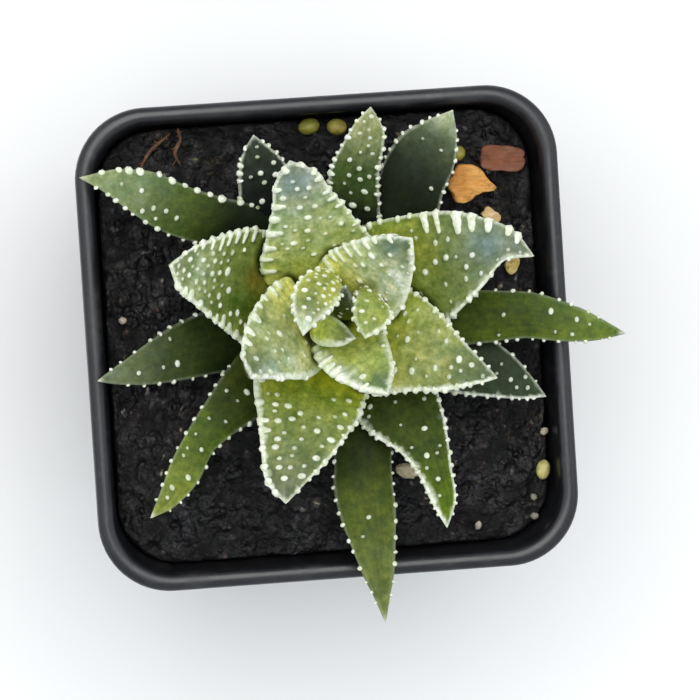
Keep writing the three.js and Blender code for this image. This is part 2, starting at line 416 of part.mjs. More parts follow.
// ---------------------------------------------------------------- leaves
// A leaf is swept between its two margins: a nearly flat upper face and a keeled lower face.
const V = (p) => new THREE.Vector3(p[0], p[1], p[2]);
function leafGeometry({ left, right, up, low }, grow = 0) {
  const n = left.length;
  const mid = left.map((p, i) => V(p).add(V(right[i])).multiplyScalar(0.5));
  const rings = [];
  for (let k = 0; k < n - 1; k++) {
    const t = k / (n - 1);
    const half = V(right[k]).sub(V(left[k])).multiplyScalar(0.5);
    const along = mid[k + 1].clone().sub(mid[Math.max(0, k - 1)]).normalize();
    const normal = half.clone().cross(along).normalize();
    const w = half.length();
    half.multiplyScalar((w + grow) / w);
    const full = Math.min(1, 0.62 + 1.5 * t) * Math.pow(1 - Math.pow(t, 2.2), 0.6);
    const a = up * full, b = low * full;
    const face = (s) => [mid[k].clone().addScaledVector(half, s), 1 - s * s, 1 - Math.pow(Math.abs(s), 1.4)];
    const ring = [];
    // a grown leaf has blunt margins, so that it clears the leaf's own edge all round
    const upper = grow ? [-1, -0.6, 0, 0.6, 1] : [-1, -0.6, 0, 0.6];
    const lower = grow ? [1, 0.62, 0, -0.62, -1] : [1, 0.62, 0, -0.62];
    for (const s of upper) {
      const [p, u] = face(s);
      ring.push(p.addScaledVector(normal, a * u + grow).toArray());
    }
    for (const s of lower) {
      const [p, , l] = face(s);
      ring.push(p.addScaledVector(normal, -b * l - grow).toArray());
    }
    rings.push(ring);
  }
  const tip = V(left[n - 1]);
  tip.addScaledVector(tip.clone().sub(mid[n - 2]).normalize(), 3 * grow);
  const foot = mid[0].clone().addScaledVector(mid[1].clone().sub(mid[0]).normalize(), -grow);
  if (grow === 0) {
    const c = new THREE.Vector3();
    for (const p of rings[0]) c.add(V(p));
    foot.copy(c.divideScalar(rings[0].length));
  }
  if (grow) {
    const back = mid[0].clone().sub(mid[1]).normalize().multiplyScalar(grow);
    rings.unshift(rings[0].map((p) => V(p).add(back).toArray()));
    foot.add(back);
  }
  return loft(foot.toArray(), rings, tip.toArray());
}

// Where crowded leaf bases would meet, the lower leaf gives way to the one above it.
function makeLeaves() {
  const names = Object.keys(LEAVES);
  const out = {};
  const keep = new Map(names.map((n) => [n, leafGeometry(LEAVES[n])]));
  const stem = stemSolid(GAP);
  const order = [...names].sort((a, b) => LEAVES[b].left[0][2] - LEAVES[a].left[0][2]);
  order.forEach((name, i) => {
    let solid = toSolid(keep.get(name));
    const cut = (other) => {
      if (Math.abs(solid.intersect(other).volume()) > 1e-4) solid = solid.subtract(other);
    };
    cut(stem);
    for (let j = 0; j < i; j++) cut(toSolid(leafGeometry(LEAVES[order[j]], GAP)));
    out[name] = largestBody(fromSolid(solid));
  });
  return out;
}

// ---------------------------------------------------------------- loose grains and fibres
function grainGeometry([x, y, l, w, h, turn], seed) {
  const rnd = stream(seed);
  const g = new THREE.IcosahedronGeometry(1, l > 3 ? 1 : 0);
  g.deleteAttribute('normal');
  g.deleteAttribute('uv');
  const m = mergeVertices(g, 1e-4);
  const p = m.attributes.position;
  const a = turn * Math.PI / 180;
  let low = Infinity;
  for (let i = 0; i < p.count; i++) {
    const k = 0.84 + 0.32 * rnd();
    const px = p.getX(i) * l / 2 * k, py = p.getY(i) * w / 2 * k, pz = p.getZ(i) * h / 2 * k;
    p.setXYZ(i, x + px * Math.cos(a) - py * Math.sin(a), y + px * Math.sin(a) + py * Math.cos(a), pz);
  }
  for (let i = 0; i < p.count; i++) low = Math.min(low, p.getZ(i) - soilHeight(p.getX(i), p.getY(i)));
  for (let i = 0; i < p.count; i++) p.setZ(i, p.getZ(i) - low + GAP + 0.1);
  return m;
}

function fibreGeometry({ points, thick }) {
  const curve = new THREE.CatmullRomCurve3(points.map(([x, y, lift]) =>
    new THREE.Vector3(x, y, soilHeight(x, y) + GAP + 0.25 + lift)));
  const steps = 8, rings = [];
  for (let k = 0; k <= steps; k++) {
    const p = curve.getPoint(k / steps), d = curve.getTangent(k / steps);
    const side = new THREE.Vector3(0, 0, 1).cross(d).normalize();
    const up = d.clone().cross(side).normalize();
    rings.push(Array.from({ length: 5 }, (_, i) => {
      const w = i / 5 * 2 * Math.PI;
      return p.clone().addScaledVector(side, thick * Math.cos(w)).addScaledVector(up, thick * Math.sin(w)).toArray();
    }));
  }
  return loft(curve.getPoint(0).toArray(), rings, curve.getPoint(1).toArray());
}

// ---------------------------------------------------------------- assembly
const plant = new THREE.Group();
function place(name, geometry, look) {
  geometry.computeVertexNormals();
  const mesh = new THREE.Mesh(geometry, new THREE.MeshStandardMaterial(look));
  mesh.name = name;
  plant.add(mesh);
}

place('pot', makePot(), BLACK_PLASTIC);
place('soil', makeSoil(), PEAT);
place('stem_with_roots', fromSolid(stemSolid(0)), STEM_SKIN);
const leaves = makeLeaves();
Object.keys(LEAVES).forEach((name, i) => {
  place(name, leaves[name], i < 10 ? LEAF_OUTER : i < 15 ? LEAF_MIDDLE : LEAF_INNER);
});
const lookOf = (name) => name.startsWith('bark') ? BARK : name.startsWith('prill') ? PRILL : PERLITE;
Object.entries(GRAINS).forEach(([name, d], i) => place(name, grainGeometry(d, 17 + 31 * i), lookOf(name)));
Object.entries(FIBRES).forEach(([name, d]) => place(name, fibreGeometry(d), FIBRE));

export default plant;
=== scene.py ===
# Young haworthia in a small square nursery pot. Lengths are written in millimetres and scaled to metres.
import bpy, bmesh, math
import numpy as np
from mathutils import Vector, Matrix, geometry, noise
from mathutils.bvhtree import BVHTree


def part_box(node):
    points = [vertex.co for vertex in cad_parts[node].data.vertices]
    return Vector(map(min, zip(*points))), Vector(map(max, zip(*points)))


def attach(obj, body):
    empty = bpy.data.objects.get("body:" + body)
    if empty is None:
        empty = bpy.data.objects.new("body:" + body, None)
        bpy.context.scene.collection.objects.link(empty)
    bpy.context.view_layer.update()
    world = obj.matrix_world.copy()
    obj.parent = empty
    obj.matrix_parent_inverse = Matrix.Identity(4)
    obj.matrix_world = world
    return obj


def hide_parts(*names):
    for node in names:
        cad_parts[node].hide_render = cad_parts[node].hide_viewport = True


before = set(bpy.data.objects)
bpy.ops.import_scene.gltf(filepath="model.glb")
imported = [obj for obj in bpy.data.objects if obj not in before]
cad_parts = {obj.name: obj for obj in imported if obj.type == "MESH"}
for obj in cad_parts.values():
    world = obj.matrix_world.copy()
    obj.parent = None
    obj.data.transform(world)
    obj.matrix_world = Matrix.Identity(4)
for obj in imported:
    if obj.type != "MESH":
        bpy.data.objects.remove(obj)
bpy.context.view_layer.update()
MM = 0.001

# ------------------------------------------------------------------ camera: above the plant, a little to one side
RIM_Z = 58.0
EYE = Vector((-62.9, 42.8, 758.0)) * MM
AIM = Vector((2.0, -1.25, 64.0)) * MM
ROLL = math.radians(3.7)
cam_data = bpy.data.cameras.new("camera")
cam_data.sensor_width = 36.0
cam_data.lens = 290.0
cam_data.clip_start, cam_data.clip_end = 0.05, 50.0
cam = bpy.data.objects.new("camera", cam_data)
bpy.context.scene.collection.objects.link(cam)
look = (AIM - EYE).normalized()
top = Vector((math.sin(ROLL), math.cos(ROLL), 0.0))
right = look.cross(top).normalized()
up = right.cross(look).normalized()
cam.matrix_world = Matrix((
    (right.x, up.x, -look.x, EYE.x),
    (right.y, up.y, -look.y, EYE.y),
    (right.z, up.z, -look.z, EYE.z),
    (0, 0, 0, 1)))
bpy.context.scene.camera = cam

# ------------------------------------------------------------------ numbers
STEM = (-0.06, 2.62)
LEAVES = {
    "leaf_01": dict(
        left=[(-5.14, 3.43, 54.2), (-6.71, 6.99, 55.78), (-8.78, 10.24, 57.34), (-12.35, 11.93, 58.63), (-16.18, 13.27, 59.7), (-19.99, 14.75, 60.57), (-23.36, 17.14, 61.22), (-26.45, 19.94, 61.63), (-29.94, 22.24, 61.8)],
        right=[(-0.92, 7.69, 54.2), (-2.79, 11.53, 55.75), (-4.87, 15.25, 57.31), (-8.54, 17.35, 58.66), (-12.77, 18.62, 59.72), (-16.85, 20.4, 60.59), (-20.98, 22.18, 61.22), (-25.45, 22.82, 61.63), (-29.94, 22.24, 61.8)],
        up=0.25, low=2.9),
    "leaf_02": dict(
        left=[(-3.71, -1.2, 53.2), (-6.65, -2.52, 54.3), (-9.69, -3.54, 55.41), (-12.91, -3.42, 56.48), (-16.14, -3.65, 57.51), (-19.41, -3.89, 58.44), (-22.7, -4.03, 59.27), (-26.03, -3.85, 59.92), (-29.32, -3.14, 60.4)],
        right=[(-4.93, 4.67, 53.2), (-8.17, 4.78, 54.3), (-11.42, 4.91, 55.39), (-14.63, 4.5, 56.47), (-17.74, 3.48, 57.48), (-20.74, 2.13, 58.43), (-23.66, 0.54, 59.26), (-26.49, -1.26, 59.93), (-29.32, -3.14, 60.4)],
        up=0.25, low=2.6),
    "leaf_03": dict(
        left=[(-1.16, -2.26, 55.2), (-3.81, -4.44, 57.06), (-6.5, -6.65, 58.8), (-9.39, -8.84, 60.2), (-12.69, -10.58, 61.3), (-15.67, -12.94, 62.12), (-17.75, -16.18, 62.64), (-20.42, -18.95, 62.85), (-24.02, -20.43, 62.8)],
        right=[(-5.05, 2.32, 55.2), (-8.24, 0.74, 57), (-11.35, -1.02, 58.75), (-13.85, -3.75, 60.19), (-16.22, -6.76, 61.3), (-18.58, -9.86, 62.13), (-20.72, -13.19, 62.64), (-22.34, -16.82, 62.85), (-24.02, -20.43, 62.8)],
        up=0.25, low=3),
    "leaf_04": dict(
        left=[(3.79, -0.8, 54.2), (6.21, -4.36, 56.05), (7.55, -8.41, 57.85), (7.08, -12.81, 59.38), (6.65, -17.28, 60.69), (6.51, -21.87, 61.64), (6.14, -26.52, 62.18), (5.42, -31.14, 62.11), (4.48, -35.71, 61.6)],
        right=[(-2.06, -2.13, 54.2), (-0.51, -5.94, 56.07), (-0.67, -10.09, 57.81), (-0.44, -14.33, 59.37), (-0.74, -18.65, 60.67), (-0.07, -23.01, 61.64), (1.28, -27.29, 62.17), (2.89, -31.51, 62.17), (4.48, -35.71, 61.6)],
        up=0.25, low=3),
    "leaf_05": dict(
        left=[(4.64, 1.05, 55.4), (7.64, -0.39, 57.54), (10.43, -2.25, 59.6), (12.38, -5.22, 61.3), (13.06, -8.86, 62.66), (13.44, -12.66, 63.69), (13.62, -16.57, 64.29), (13.96, -20.49, 64.47), (12.66, -24.21, 64.2)],
        right=[(-0.31, -2.33, 55.4), (1.66, -4.51, 57.49), (2.88, -7.12, 59.54), (2.78, -10.31, 61.19), (4.97, -12.65, 62.6), (7.69, -14.77, 63.65), (9.64, -17.68, 64.28), (10.96, -21.04, 64.47), (12.66, -24.21, 64.2)],
        up=0.25, low=3.1),
    "leaf_06": dict(
        left=[(5.13, 3.59, 53.2), (8.11, 2.58, 54.43), (11.1, 1.58, 55.63), (14.19, 0.73, 56.68), (17.32, -0.11, 57.59), (20.32, -1.44, 58.36), (22.82, -3.59, 58.95), (24.85, -6.25, 59.38), (26.66, -9.09, 59.6)],
        right=[(2.69, -1.89, 53.2), (5.35, -3.43, 54.4), (8.02, -4.97, 55.59), (10.82, -6.33, 56.68), (13.8, -7.42, 57.59), (16.92, -8.16, 58.36), (20.13, -8.63, 58.95), (23.37, -9.1, 59.37), (26.66, -9.09, 59.6)],
        up=0.25, low=2.6),
    "leaf_07": dict(
        left=[(4.36, 5.19, 54.4), (8.42, 5.19, 56.16), (12.51, 5.13, 57.85), (16.65, 4.92, 59.38), (20.87, 4.71, 60.69), (25.14, 4.3, 61.71), (29.22, 2.72, 62.35), (33.13, 0.69, 62.53), (36.83, -1.71, 62.2)],
        right=[(3.77, -0.78, 54.4), (7.71, -1.26, 56.16), (11.67, -1.66, 57.85), (15.72, -1.83, 59.38), (19.84, -1.73, 60.7), (24.02, -1.48, 61.69), (28.26, -2.07, 62.35), (32.56, -2.31, 62.53), (36.83, -1.71, 62.2)],
        up=0.25, low=3),
    "leaf_08": dict(
        left=[(0.31, 7.89, 53.2), (2.47, 10.37, 54.42), (4.48, 12.98, 55.6), (5.93, 15.99, 56.67), (7.23, 19.1, 57.63), (8.59, 22.22, 58.48), (10.75, 24.83, 59.21), (13.82, 26.35, 59.79), (17.12, 27.48, 60.2)],
        right=[(5, 4.14, 53.2), (7.44, 6.48, 54.39), (9.88, 8.82, 55.59), (12.24, 11.28, 56.7), (14.35, 14, 57.67), (15.45, 17.3, 58.51), (17.04, 20.42, 59.23), (17.37, 23.93, 59.79), (17.12, 27.48, 60.2)],
        up=0.25, low=2.6),
    "leaf_09": dict(
        left=[(-1.72, 7.43, 54.6), (-1.05, 10.03, 56.17), (-0.37, 12.65, 57.68), (0.28, 15.41, 58.95), (0.88, 18.29, 59.95), (1.38, 21.26, 60.71), (2.83, 23.93, 61.22), (4.5, 26.53, 61.44), (6.78, 28.6, 61.4)],
        right=[(4.01, 5.68, 54.6), (5.17, 8.19, 56.15), (6.28, 10.73, 57.68), (7.02, 13.52, 58.98), (7.2, 16.52, 59.97), (7.16, 19.59, 60.73), (7.8, 22.64, 61.22), (8.15, 25.77, 61.44), (6.78, 28.6, 61.4)],
        up=0.25, low=2.8),
    "leaf_10": dict(
        left=[(-4.44, 5.53, 53.4), (-5.57, 8, 54.56), (-6.71, 10.46, 55.72), (-8.01, 12.88, 56.81), (-9.59, 15.18, 57.77), (-10.04, 17.94, 58.64), (-9.97, 20.8, 59.38), (-9.45, 23.64, 59.97), (-7.95, 26.04, 60.4)],
        right=[(1.14, 7.73, 53.4), (-0.05, 9.96, 54.56), (-1.22, 12.21, 55.72), (-2.08, 14.61, 56.81), (-2.48, 17.18, 57.78), (-3.01, 19.77, 58.64), (-4.11, 22.19, 59.39), (-5.9, 24.23, 59.98), (-7.95, 26.04, 60.4)],
        up=0.25, low=2.5),
    "leaf_11": dict(
        left=[(-4.48, 4.86, 57.4), (-6.4, 6.11, 59.94), (-7.78, 7.9, 62.48), (-8.49, 10.12, 64.98), (-8.07, 12.44, 67.44), (-7.63, 14.89, 69.78), (-7.12, 17.5, 71.92), (-6.69, 20.36, 73.74), (-4.83, 22.9, 75)],
        right=[(2.42, 6.91, 57.4), (4.3, 7.92, 60.2), (5.43, 9.98, 62.88), (5.26, 12.48, 65.4), (3.71, 14.59, 67.8), (2.05, 16.81, 70.06), (0.09, 18.98, 72.1), (-1.85, 21.43, 73.82), (-4.83, 22.9, 75)],
        up=0.5, low=4.8),
    "leaf_12": dict(
        left=[(-4.65, 1.14, 57), (-6.39, -0.75, 59.25), (-8.94, -0.63, 61.49), (-11.25, 0.54, 63.74), (-13.28, 2.19, 65.95), (-15.26, 4, 68.1), (-17.25, 5.94, 70.11), (-19.17, 8.18, 71.88), (-20.13, 11.17, 73.2)],
        right=[(-1.82, 7.11, 57), (-3.33, 9.35, 59.22), (-4.87, 11.58, 61.44), (-6.64, 13.6, 63.67), (-9.06, 14.7, 65.89), (-11.79, 14.45, 68.06), (-14.57, 13.86, 70.09), (-17.43, 12.94, 71.88), (-20.13, 11.17, 73.2)],
        up=-0.9, low=4.6),
    "leaf_13": dict(
        left=[(2.26, 7.41, 56.2), (1.96, 10.98, 58.75), (4.03, 13.56, 61.51), (7.29, 14.6, 64.21), (10.81, 15.09, 66.82), (14.51, 15.23, 69.16), (18.41, 14.41, 71.01), (22.15, 12.56, 72.07), (24.68, 9.17, 72)],
        right=[(4.69, 0.21, 56.2), (7.12, -0.79, 58.91), (9.6, -1.27, 61.67), (11.98, -0.03, 64.29), (14.18, 1.75, 66.77), (16.3, 3.88, 69.04), (18.53, 6.28, 70.9), (20.99, 8.86, 72.04), (24.68, 9.17, 72)],
        up=0.3, low=5),
    "leaf_14": dict(
        left=[(4.39, 4.73, 57.6), (5.4, 6.98, 60.17), (7.15, 7.37, 63.02), (9.25, 6.03, 65.57), (11.39, 4.65, 68.06), (13.16, 2.54, 70.31), (14.74, -0.02, 72.21), (16.8, -2.55, 73.64), (18.93, -5.29, 74.4)],
        right=[(1.74, -1.97, 57.6), (1.22, -4.17, 60.27), (2.1, -5.9, 63.06), (4.34, -6.63, 65.63), (6.84, -6.7, 68.08), (9.52, -6.55, 70.31), (12.45, -6.52, 72.22), (15.61, -6.11, 73.64), (18.93, -5.29, 74.4)],
        up=0.5, low=4.8),
    "leaf_15": dict(
        left=[(2.26, -2.14, 56.4), (4.66, -3.4, 58.97), (4.73, -5.41, 61.66), (3.31, -7.76, 64.19), (1.94, -10.19, 66.68), (-0.2, -12.22, 68.97), (-2.51, -14.37, 70.97), (-5.17, -16.53, 72.45), (-7.92, -18.95, 73)],
        right=[(-4.89, 0.46, 56.4), (-7.86, 0.83, 58.72), (-9.56, -1, 61.34), (-10.14, -3.74, 63.9), (-10.32, -6.54, 66.45), (-10.29, -9.49, 68.84), (-10.41, -12.65, 70.93), (-10.14, -16.1, 72.45), (-7.92, -18.95, 73)],
        up=0.4, low=5),
    "leaf_16": dict(
        left=[(-2.04, -1, 59.4), (-1.62, -1.84, 62.05), (-1.44, -2.66, 64.73), (-2.29, -3.36, 67.31), (-3.69, -3.85, 69.7), (-5.22, -3.84, 72.05), (-6.97, -3.54, 74.24), (-8.96, -3.25, 76.2), (-11.38, -2.96, 77.6)],
        right=[(-3.56, 4.8, 59.4), (-4.2, 6.78, 62.02), (-5.14, 8.33, 64.79), (-7.08, 7.67, 67.38), (-8.87, 6.46, 69.93), (-10.44, 4.79, 72.36), (-11.71, 2.64, 74.58), (-12.36, -0.05, 76.43), (-11.38, -2.96, 77.6)],
        up=0.4, low=4.2),
    "leaf_17": dict(
        left=[(-0.23, 6.74, 59.4), (-1.24, 8.05, 61.94), (-1.27, 9.42, 64.62), (-0.4, 10.73, 67.22), (0.73, 11.83, 69.81), (2.26, 12.47, 72.34), (4.15, 12.84, 74.69), (6.42, 13.1, 76.67), (9.16, 12.62, 77.8)],
        right=[(4.06, 2.54, 59.4), (5.2, 2.24, 62.15), (6.34, 2.01, 64.91), (7.33, 2.57, 67.66), (8.12, 3.94, 70.2), (8.77, 5.62, 72.59), (9.24, 7.55, 74.83), (9.37, 9.87, 76.7), (9.16, 12.62, 77.8)],
        up=0.4, low=4.2),
    "leaf_18": dict(
        left=[(3.53, 2.07, 60.4), (4.28, 2.93, 62.86), (4.93, 2.86, 65.46), (5.41, 1.91, 67.95), (5.78, 0.8, 70.4), (5.99, -0.47, 72.79), (6.08, -1.98, 75.04), (5.9, -3.85, 76.99), (4.93, -6.03, 78.2)],
        right=[(-0.7, -0.95, 60.4), (-2.08, 0.34, 62.73), (-3.14, 0.93, 65.38), (-2.95, -0.6, 67.93), (-2.55, -2.16, 70.47), (-1.55, -3.52, 72.94), (0.07, -4.59, 75.23), (2.17, -5.58, 77.12), (4.93, -6.03, 78.2)],
        up=0.4, low=3.8),
    "leaf_19": dict(
        left=[(-2.22, 3.71, 62), (-1.43, 4.51, 64.66), (-0.59, 5.38, 67.27), (0.23, 6.21, 69.91), (0.84, 6.81, 72.66), (0.39, 6.11, 75.28), (-1.07, 4.76, 77.36), (-3.02, 3.53, 79.07), (-5.07, 1.89, 80.2)],
        right=[(0.5, 4.97, 62), (0.48, 6.38, 64.79), (0.44, 7.77, 67.58), (-0.27, 8.88, 70.39), (-2.08, 9.3, 72.88), (-4.02, 8.89, 75.28), (-5.51, 7.24, 77.43), (-5.91, 4.68, 79.13), (-5.07, 1.89, 80.2)],
        up=0.5, low=2.8),
    "leaf_20": dict(
        left=[(1.41, 4.46, 62), (2.27, 4.92, 64.45), (3.13, 5.44, 66.88), (3.99, 5.89, 69.33), (4.84, 5.99, 71.82), (5.49, 4.85, 74.07), (6.36, 3.43, 76.06), (4.85, 1.89, 77.51), (2.58, 0.92, 78.4)],
        right=[(2.14, 1.76, 62), (2.24, 2.85, 64.28), (2.36, 4.03, 66.53), (2.47, 5.17, 68.79), (2.53, 6.14, 71.13), (2.34, 6.24, 73.59), (1.79, 4.74, 75.54), (1.69, 2.92, 77.29), (2.58, 0.92, 78.4)],
        up=0.5, low=2.2),
    "leaf_21": dict(
        left=[(-0.27, 0.71, 63), (-0.71, 1.39, 64.89), (-1.19, 2.07, 66.76), (-1.6, 2.74, 68.66), (-1.7, 3.32, 70.62), (-1.02, 3.66, 72.51), (-0.3, 3.24, 74.37), (0.54, 2.36, 76.01), (1.57, 0.95, 77)],
        right=[(-1.97, 2.41, 63), (-2.46, 1.98, 64.94), (-2.95, 1.55, 66.89), (-3.18, 1.1, 68.87), (-2.9, 0.58, 70.83), (-2.29, 0.17, 72.74), (-1.36, 0.02, 74.55), (-0.04, 0.12, 76.11), (1.57, 0.95, 77)],
        up=0.4, low=1.7),
    "leaf_22": dict(
        left=[(-0.57, 3.79, 64), (-0.34, 3.59, 65.63), (-0.17, 3.55, 67.27), (-0.24, 3.94, 68.87), (-0.39, 4.54, 70.4), (-0.44, 5.16, 71.93), (-0.32, 5.76, 73.47), (0.02, 6.46, 74.93), (0.84, 7.4, 76)],
        right=[(0.97, 3.38, 64), (1.4, 3.23, 65.69), (1.86, 3.05, 67.38), (2.25, 2.98, 69.09), (2.38, 3.29, 70.8), (2.16, 4.07, 72.35), (1.85, 5.01, 73.8), (1.57, 6.06, 75.18), (0.84, 7.4, 76)],
        up=0.3, low=1.2),
}
FIBRES = {
    "fibre_01": [(-21.96, 22.38, 0), (-20.72, 24.51, 0.3), (-19.31, 25.75, 0.5), (-17.92, 26.76, 0)],
    "fibre_02": [(-16.77, 27.35, 0.1), (-16.65, 25.8, 0.5), (-17.41, 24.3, 0.4), (-16.65, 22.48, 0)],
}


def lin(c):
    c = np.asarray(c, float) / 255.0
    return np.where(c <= 0.04045, c / 12.92, ((c + 0.055) / 1.055) ** 2.4)


def smooth(a, b, x):
    u = np.clip((np.asarray(x, float) - a) / (b - a), 0, 1)
    return u * u * (3 - 2 * u)


def fbm(p, scale, octaves=3):
    """Soft noise in -1..1 at points p (n, 3)."""
    out = np.empty(len(p))
    for i, q in enumerate(p):
        out[i] = noise.fractal(Vector(q) * scale, 1.0, 2.0, octaves, noise_basis="PERLIN_ORIGINAL")
    return out


# ------------------------------------------------------------------ node helpers
class Mat:
    """A small builder for procedural materials. Coordinates are the row frame's, in metres."""

    def __init__(self, name):
        self.mat = bpy.data.materials.new(name)
        self.mat.use_nodes = True
        self.nt = self.mat.node_tree
        self.nt.nodes.clear()
        self.out = self.nt.nodes.new("ShaderNodeOutputMaterial")
        self.bsdf = self.nt.nodes.new("ShaderNodeBsdfPrincipled")
        self.nt.links.new(self.bsdf.outputs[0], self.out.inputs[0])
        self.tc = self.nt.nodes.new("ShaderNodeTexCoord")

    def link(self, a, b):
        self.nt.links.new(a, b)

    def put(self, socket, value):
        if hasattr(value, "is_output") or isinstance(value, bpy.types.NodeSocket):
            self.link(value, socket)
        else:
            socket.default_value = value

    def coord(self, scale=(1, 1, 1), turn=(0, 0, 0)):
        m = self.nt.nodes.new("ShaderNodeMapping")
        m.inputs["Scale"].default_value = scale
        m.inputs["Rotation"].default_value = turn
        self.link(self.tc.outputs["Object"], m.inputs["Vector"])
        return m.outputs[0]

    def noise(self, scale, detail=3.0, rough=0.55, vec=None, lac=2.0, distort=0.0):
        n = self.nt.nodes.new("ShaderNodeTexNoise")
        n.inputs["Scale"].default_value = scale
        n.inputs["Detail"].default_value = detail
        n.inputs["Roughness"].default_value = rough
        n.inputs["Lacunarity"].default_value = lac
        n.inputs["Distortion"].default_value = distort
        self.link(vec or self.tc.outputs["Object"], n.inputs["Vector"])
        return n.outputs["Fac"]

    def voronoi(self, scale, feature="F1", vec=None, out="Distance"):
        n = self.nt.nodes.new("ShaderNodeTexVoronoi")
        n.feature = feature
        n.inputs["Scale"].default_value = scale
        self.link(vec or self.tc.outputs["Object"], n.inputs["Vector"])
        return n.outputs[out]

    def attr(self, name, out="Fac"):
        n = self.nt.nodes.new("ShaderNodeAttribute")
        n.attribute_name = name
        return n.outputs[out]

    def ramp(self, fac, stops):
        n = self.nt.nodes.new("ShaderNodeValToRGB")
        e = n.color_ramp.elements
        while len(e) > 1:
            e.remove(e[-1])
        for i, (p, c) in enumerate(stops):
            c = (c, c, c, 1) if np.isscalar(c) else (*c, 1) if len(c) == 3 else c
            if i == 0:
                e[0].position, e[0].color = p, c
            else:
                k = e.new(p)
                k.color = c
        self.link(fac, n.inputs[0])
        return n.outputs[0]

    def range(self, v, a, b, c, d, clamp=True):
        n = self.nt.nodes.new("ShaderNodeMapRange")
        n.clamp = clamp
        self.put(n.inputs[0], v)
        for i, x in zip((1, 2, 3, 4), (a, b, c, d)):
            n.inputs[i].default_value = x
        return n.outputs[0]

    def math(self, op, a, b=0.0, clamp=False):
        n = self.nt.nodes.new("ShaderNodeMath")
        n.operation = op
        n.use_clamp = clamp
        self.put(n.inputs[0], a)
        self.put(n.inputs[1], b)
        return n.outputs[0]

    def mix(self, fac, a, b, blend="MIX"):
        n = self.nt.nodes.new("ShaderNodeMix")
        n.data_type = "RGBA"
        n.blend_type = blend
        self.put(n.inputs[0], fac)
        for s, v in ((n.inputs[6], a), (n.inputs[7], b)):
            if isinstance(v, (tuple, list, np.ndarray)):
                v = (*[float(q) for q in v][:3], 1.0)
            self.put(s, v)
        return n.outputs[2]

    def bump(self, height, strength, dist, normal=None):
        n = self.nt.nodes.new("ShaderNodeBump")
        n.inputs["Strength"].default_value = strength
        n.inputs["Distance"].default_value = dist
        self.link(height, n.inputs["Height"])
        if normal is not None:
            self.link(normal, n.inputs["Normal"])
        return n.outputs[0]

    def set(self, **kw):
        for k, v in kw.items():
            s = self.bsdf.inputs[k.replace("_", " ")]
            if isinstance(v, (tuple, list, np.ndarray)) and len(v) == 3 and len(s.default_value) == 4:
                v = (*[float(q) for q in v], 1.0)
            self.put(s, v)
        return self


# ------------------------------------------------------------------ mesh helpers
def new_object(name, verts, faces, mat=None, attrs=None, flat=False):
    me = bpy.data.meshes.new(name)
    me.from_pydata([tuple(v) for v in np.asarray(verts) * MM], [], [tuple(int(i) for i in f) for f in faces])
    for key, val in (attrs or {}).items():
        val = np.asarray(val, dtype=np.float32)
        if val.ndim == 2:
            a = me.attributes.new(key, "FLOAT_COLOR", "POINT")
            rgba = np.ones((len(val), 4), dtype=np.float32)
            rgba[:, :3] = val[:, :3]
            a.data.foreach_set("color", rgba.ravel())
        else:
            a = me.attributes.new(key, "FLOAT", "POINT")
            a.data.foreach_set("value", val)
    me.update()
    me.validate()
    me.shade_flat() if flat else me.shade_smooth()
    ob = bpy.data.objects.new(name, me)
    bpy.context.scene.collection.objects.link(ob)
    if mat is not None:
        me.materials.append(mat)
    return ob


def signed_volume(v, f):
    v = np.asarray(v)
    s = 0.0
    for a in f:
        for k in range(1, len(a) - 1):
            p, q, r = v[a[0]], v[a[k]], v[a[k + 1]]
            s += np.dot(p, np.cross(q, r))
    return s / 6


def outward(v, f):
    return [tuple(reversed(a)) for a in f] if signed_volume(v, f) < 0 else f


def ico(detail):
    bm = bmesh.new()
    bmesh.ops.create_icosphere(bm, subdivisions=detail, radius=1.0)
    v = np.array([x.co[:] for x in bm.verts])
    f = [tuple(x.index for x in y.verts) for y in bm.faces]
    bm.free()
    return v, f


ICO = {k: ico(k) for k in (1, 2, 3, 4)}


def turn(rng):
    q = rng.normal(size=4)
    q /= np.linalg.norm(q)
    w, x, y, z = q
    return np.array([[1 - 2 * (y * y + z * z), 2 * (x * y - z * w), 2 * (x * z + y * w)],
                     [2 * (x * y + z * w), 1 - 2 * (x * x + z * z), 2 * (y * z - x * w)],
                     [2 * (x * z - y * w), 2 * (y * z + x * w), 1 - 2 * (x * x + y * y)]])


# ------------------------------------------------------------------ leaves
def crom(P, m):
    """m points of equal spacing on a centripetal Catmull-Rom curve through P."""
    P = np.asarray(P, float)
    Q = np.vstack([2 * P[0] - P[1], P, 2 * P[-1] - P[-2]])
    out = []
    for s in range(len(P) - 1):
        p0, p1, p2, p3 = Q[s:s + 4]
        d = [max(1e-4, np.linalg.norm(b - a) ** 0.5) for a, b in ((p0, p1), (p1, p2), (p2, p3))]
        t1 = ((p1 - p0) / d[0] - (p2 - p0) / (d[0] + d[1]) + (p2 - p1) / d[1]) * d[1]
        t2 = ((p2 - p1) / d[1] - (p3 - p1) / (d[1] + d[2]) + (p3 - p2) / d[2]) * d[1]
        c2 = -3 * p1 + 3 * p2 - 2 * t1 - t2
        c3 = 2 * p1 - 2 * p2 + t1 + t2
        for w in np.linspace(0, 1, 24, endpoint=False):
            out.append(p1 + t1 * w + c2 * w * w + c3 * w ** 3)
    out.append(P[-1])
    out = np.array(out)
    a = np.concatenate([[0], np.cumsum(np.linalg.norm(np.diff(out, axis=0), axis=1))])
    s = np.linspace(0, a[-1], m)
    return np.stack([np.interp(s, a, out[:, i]) for i in range(3)], axis=1)


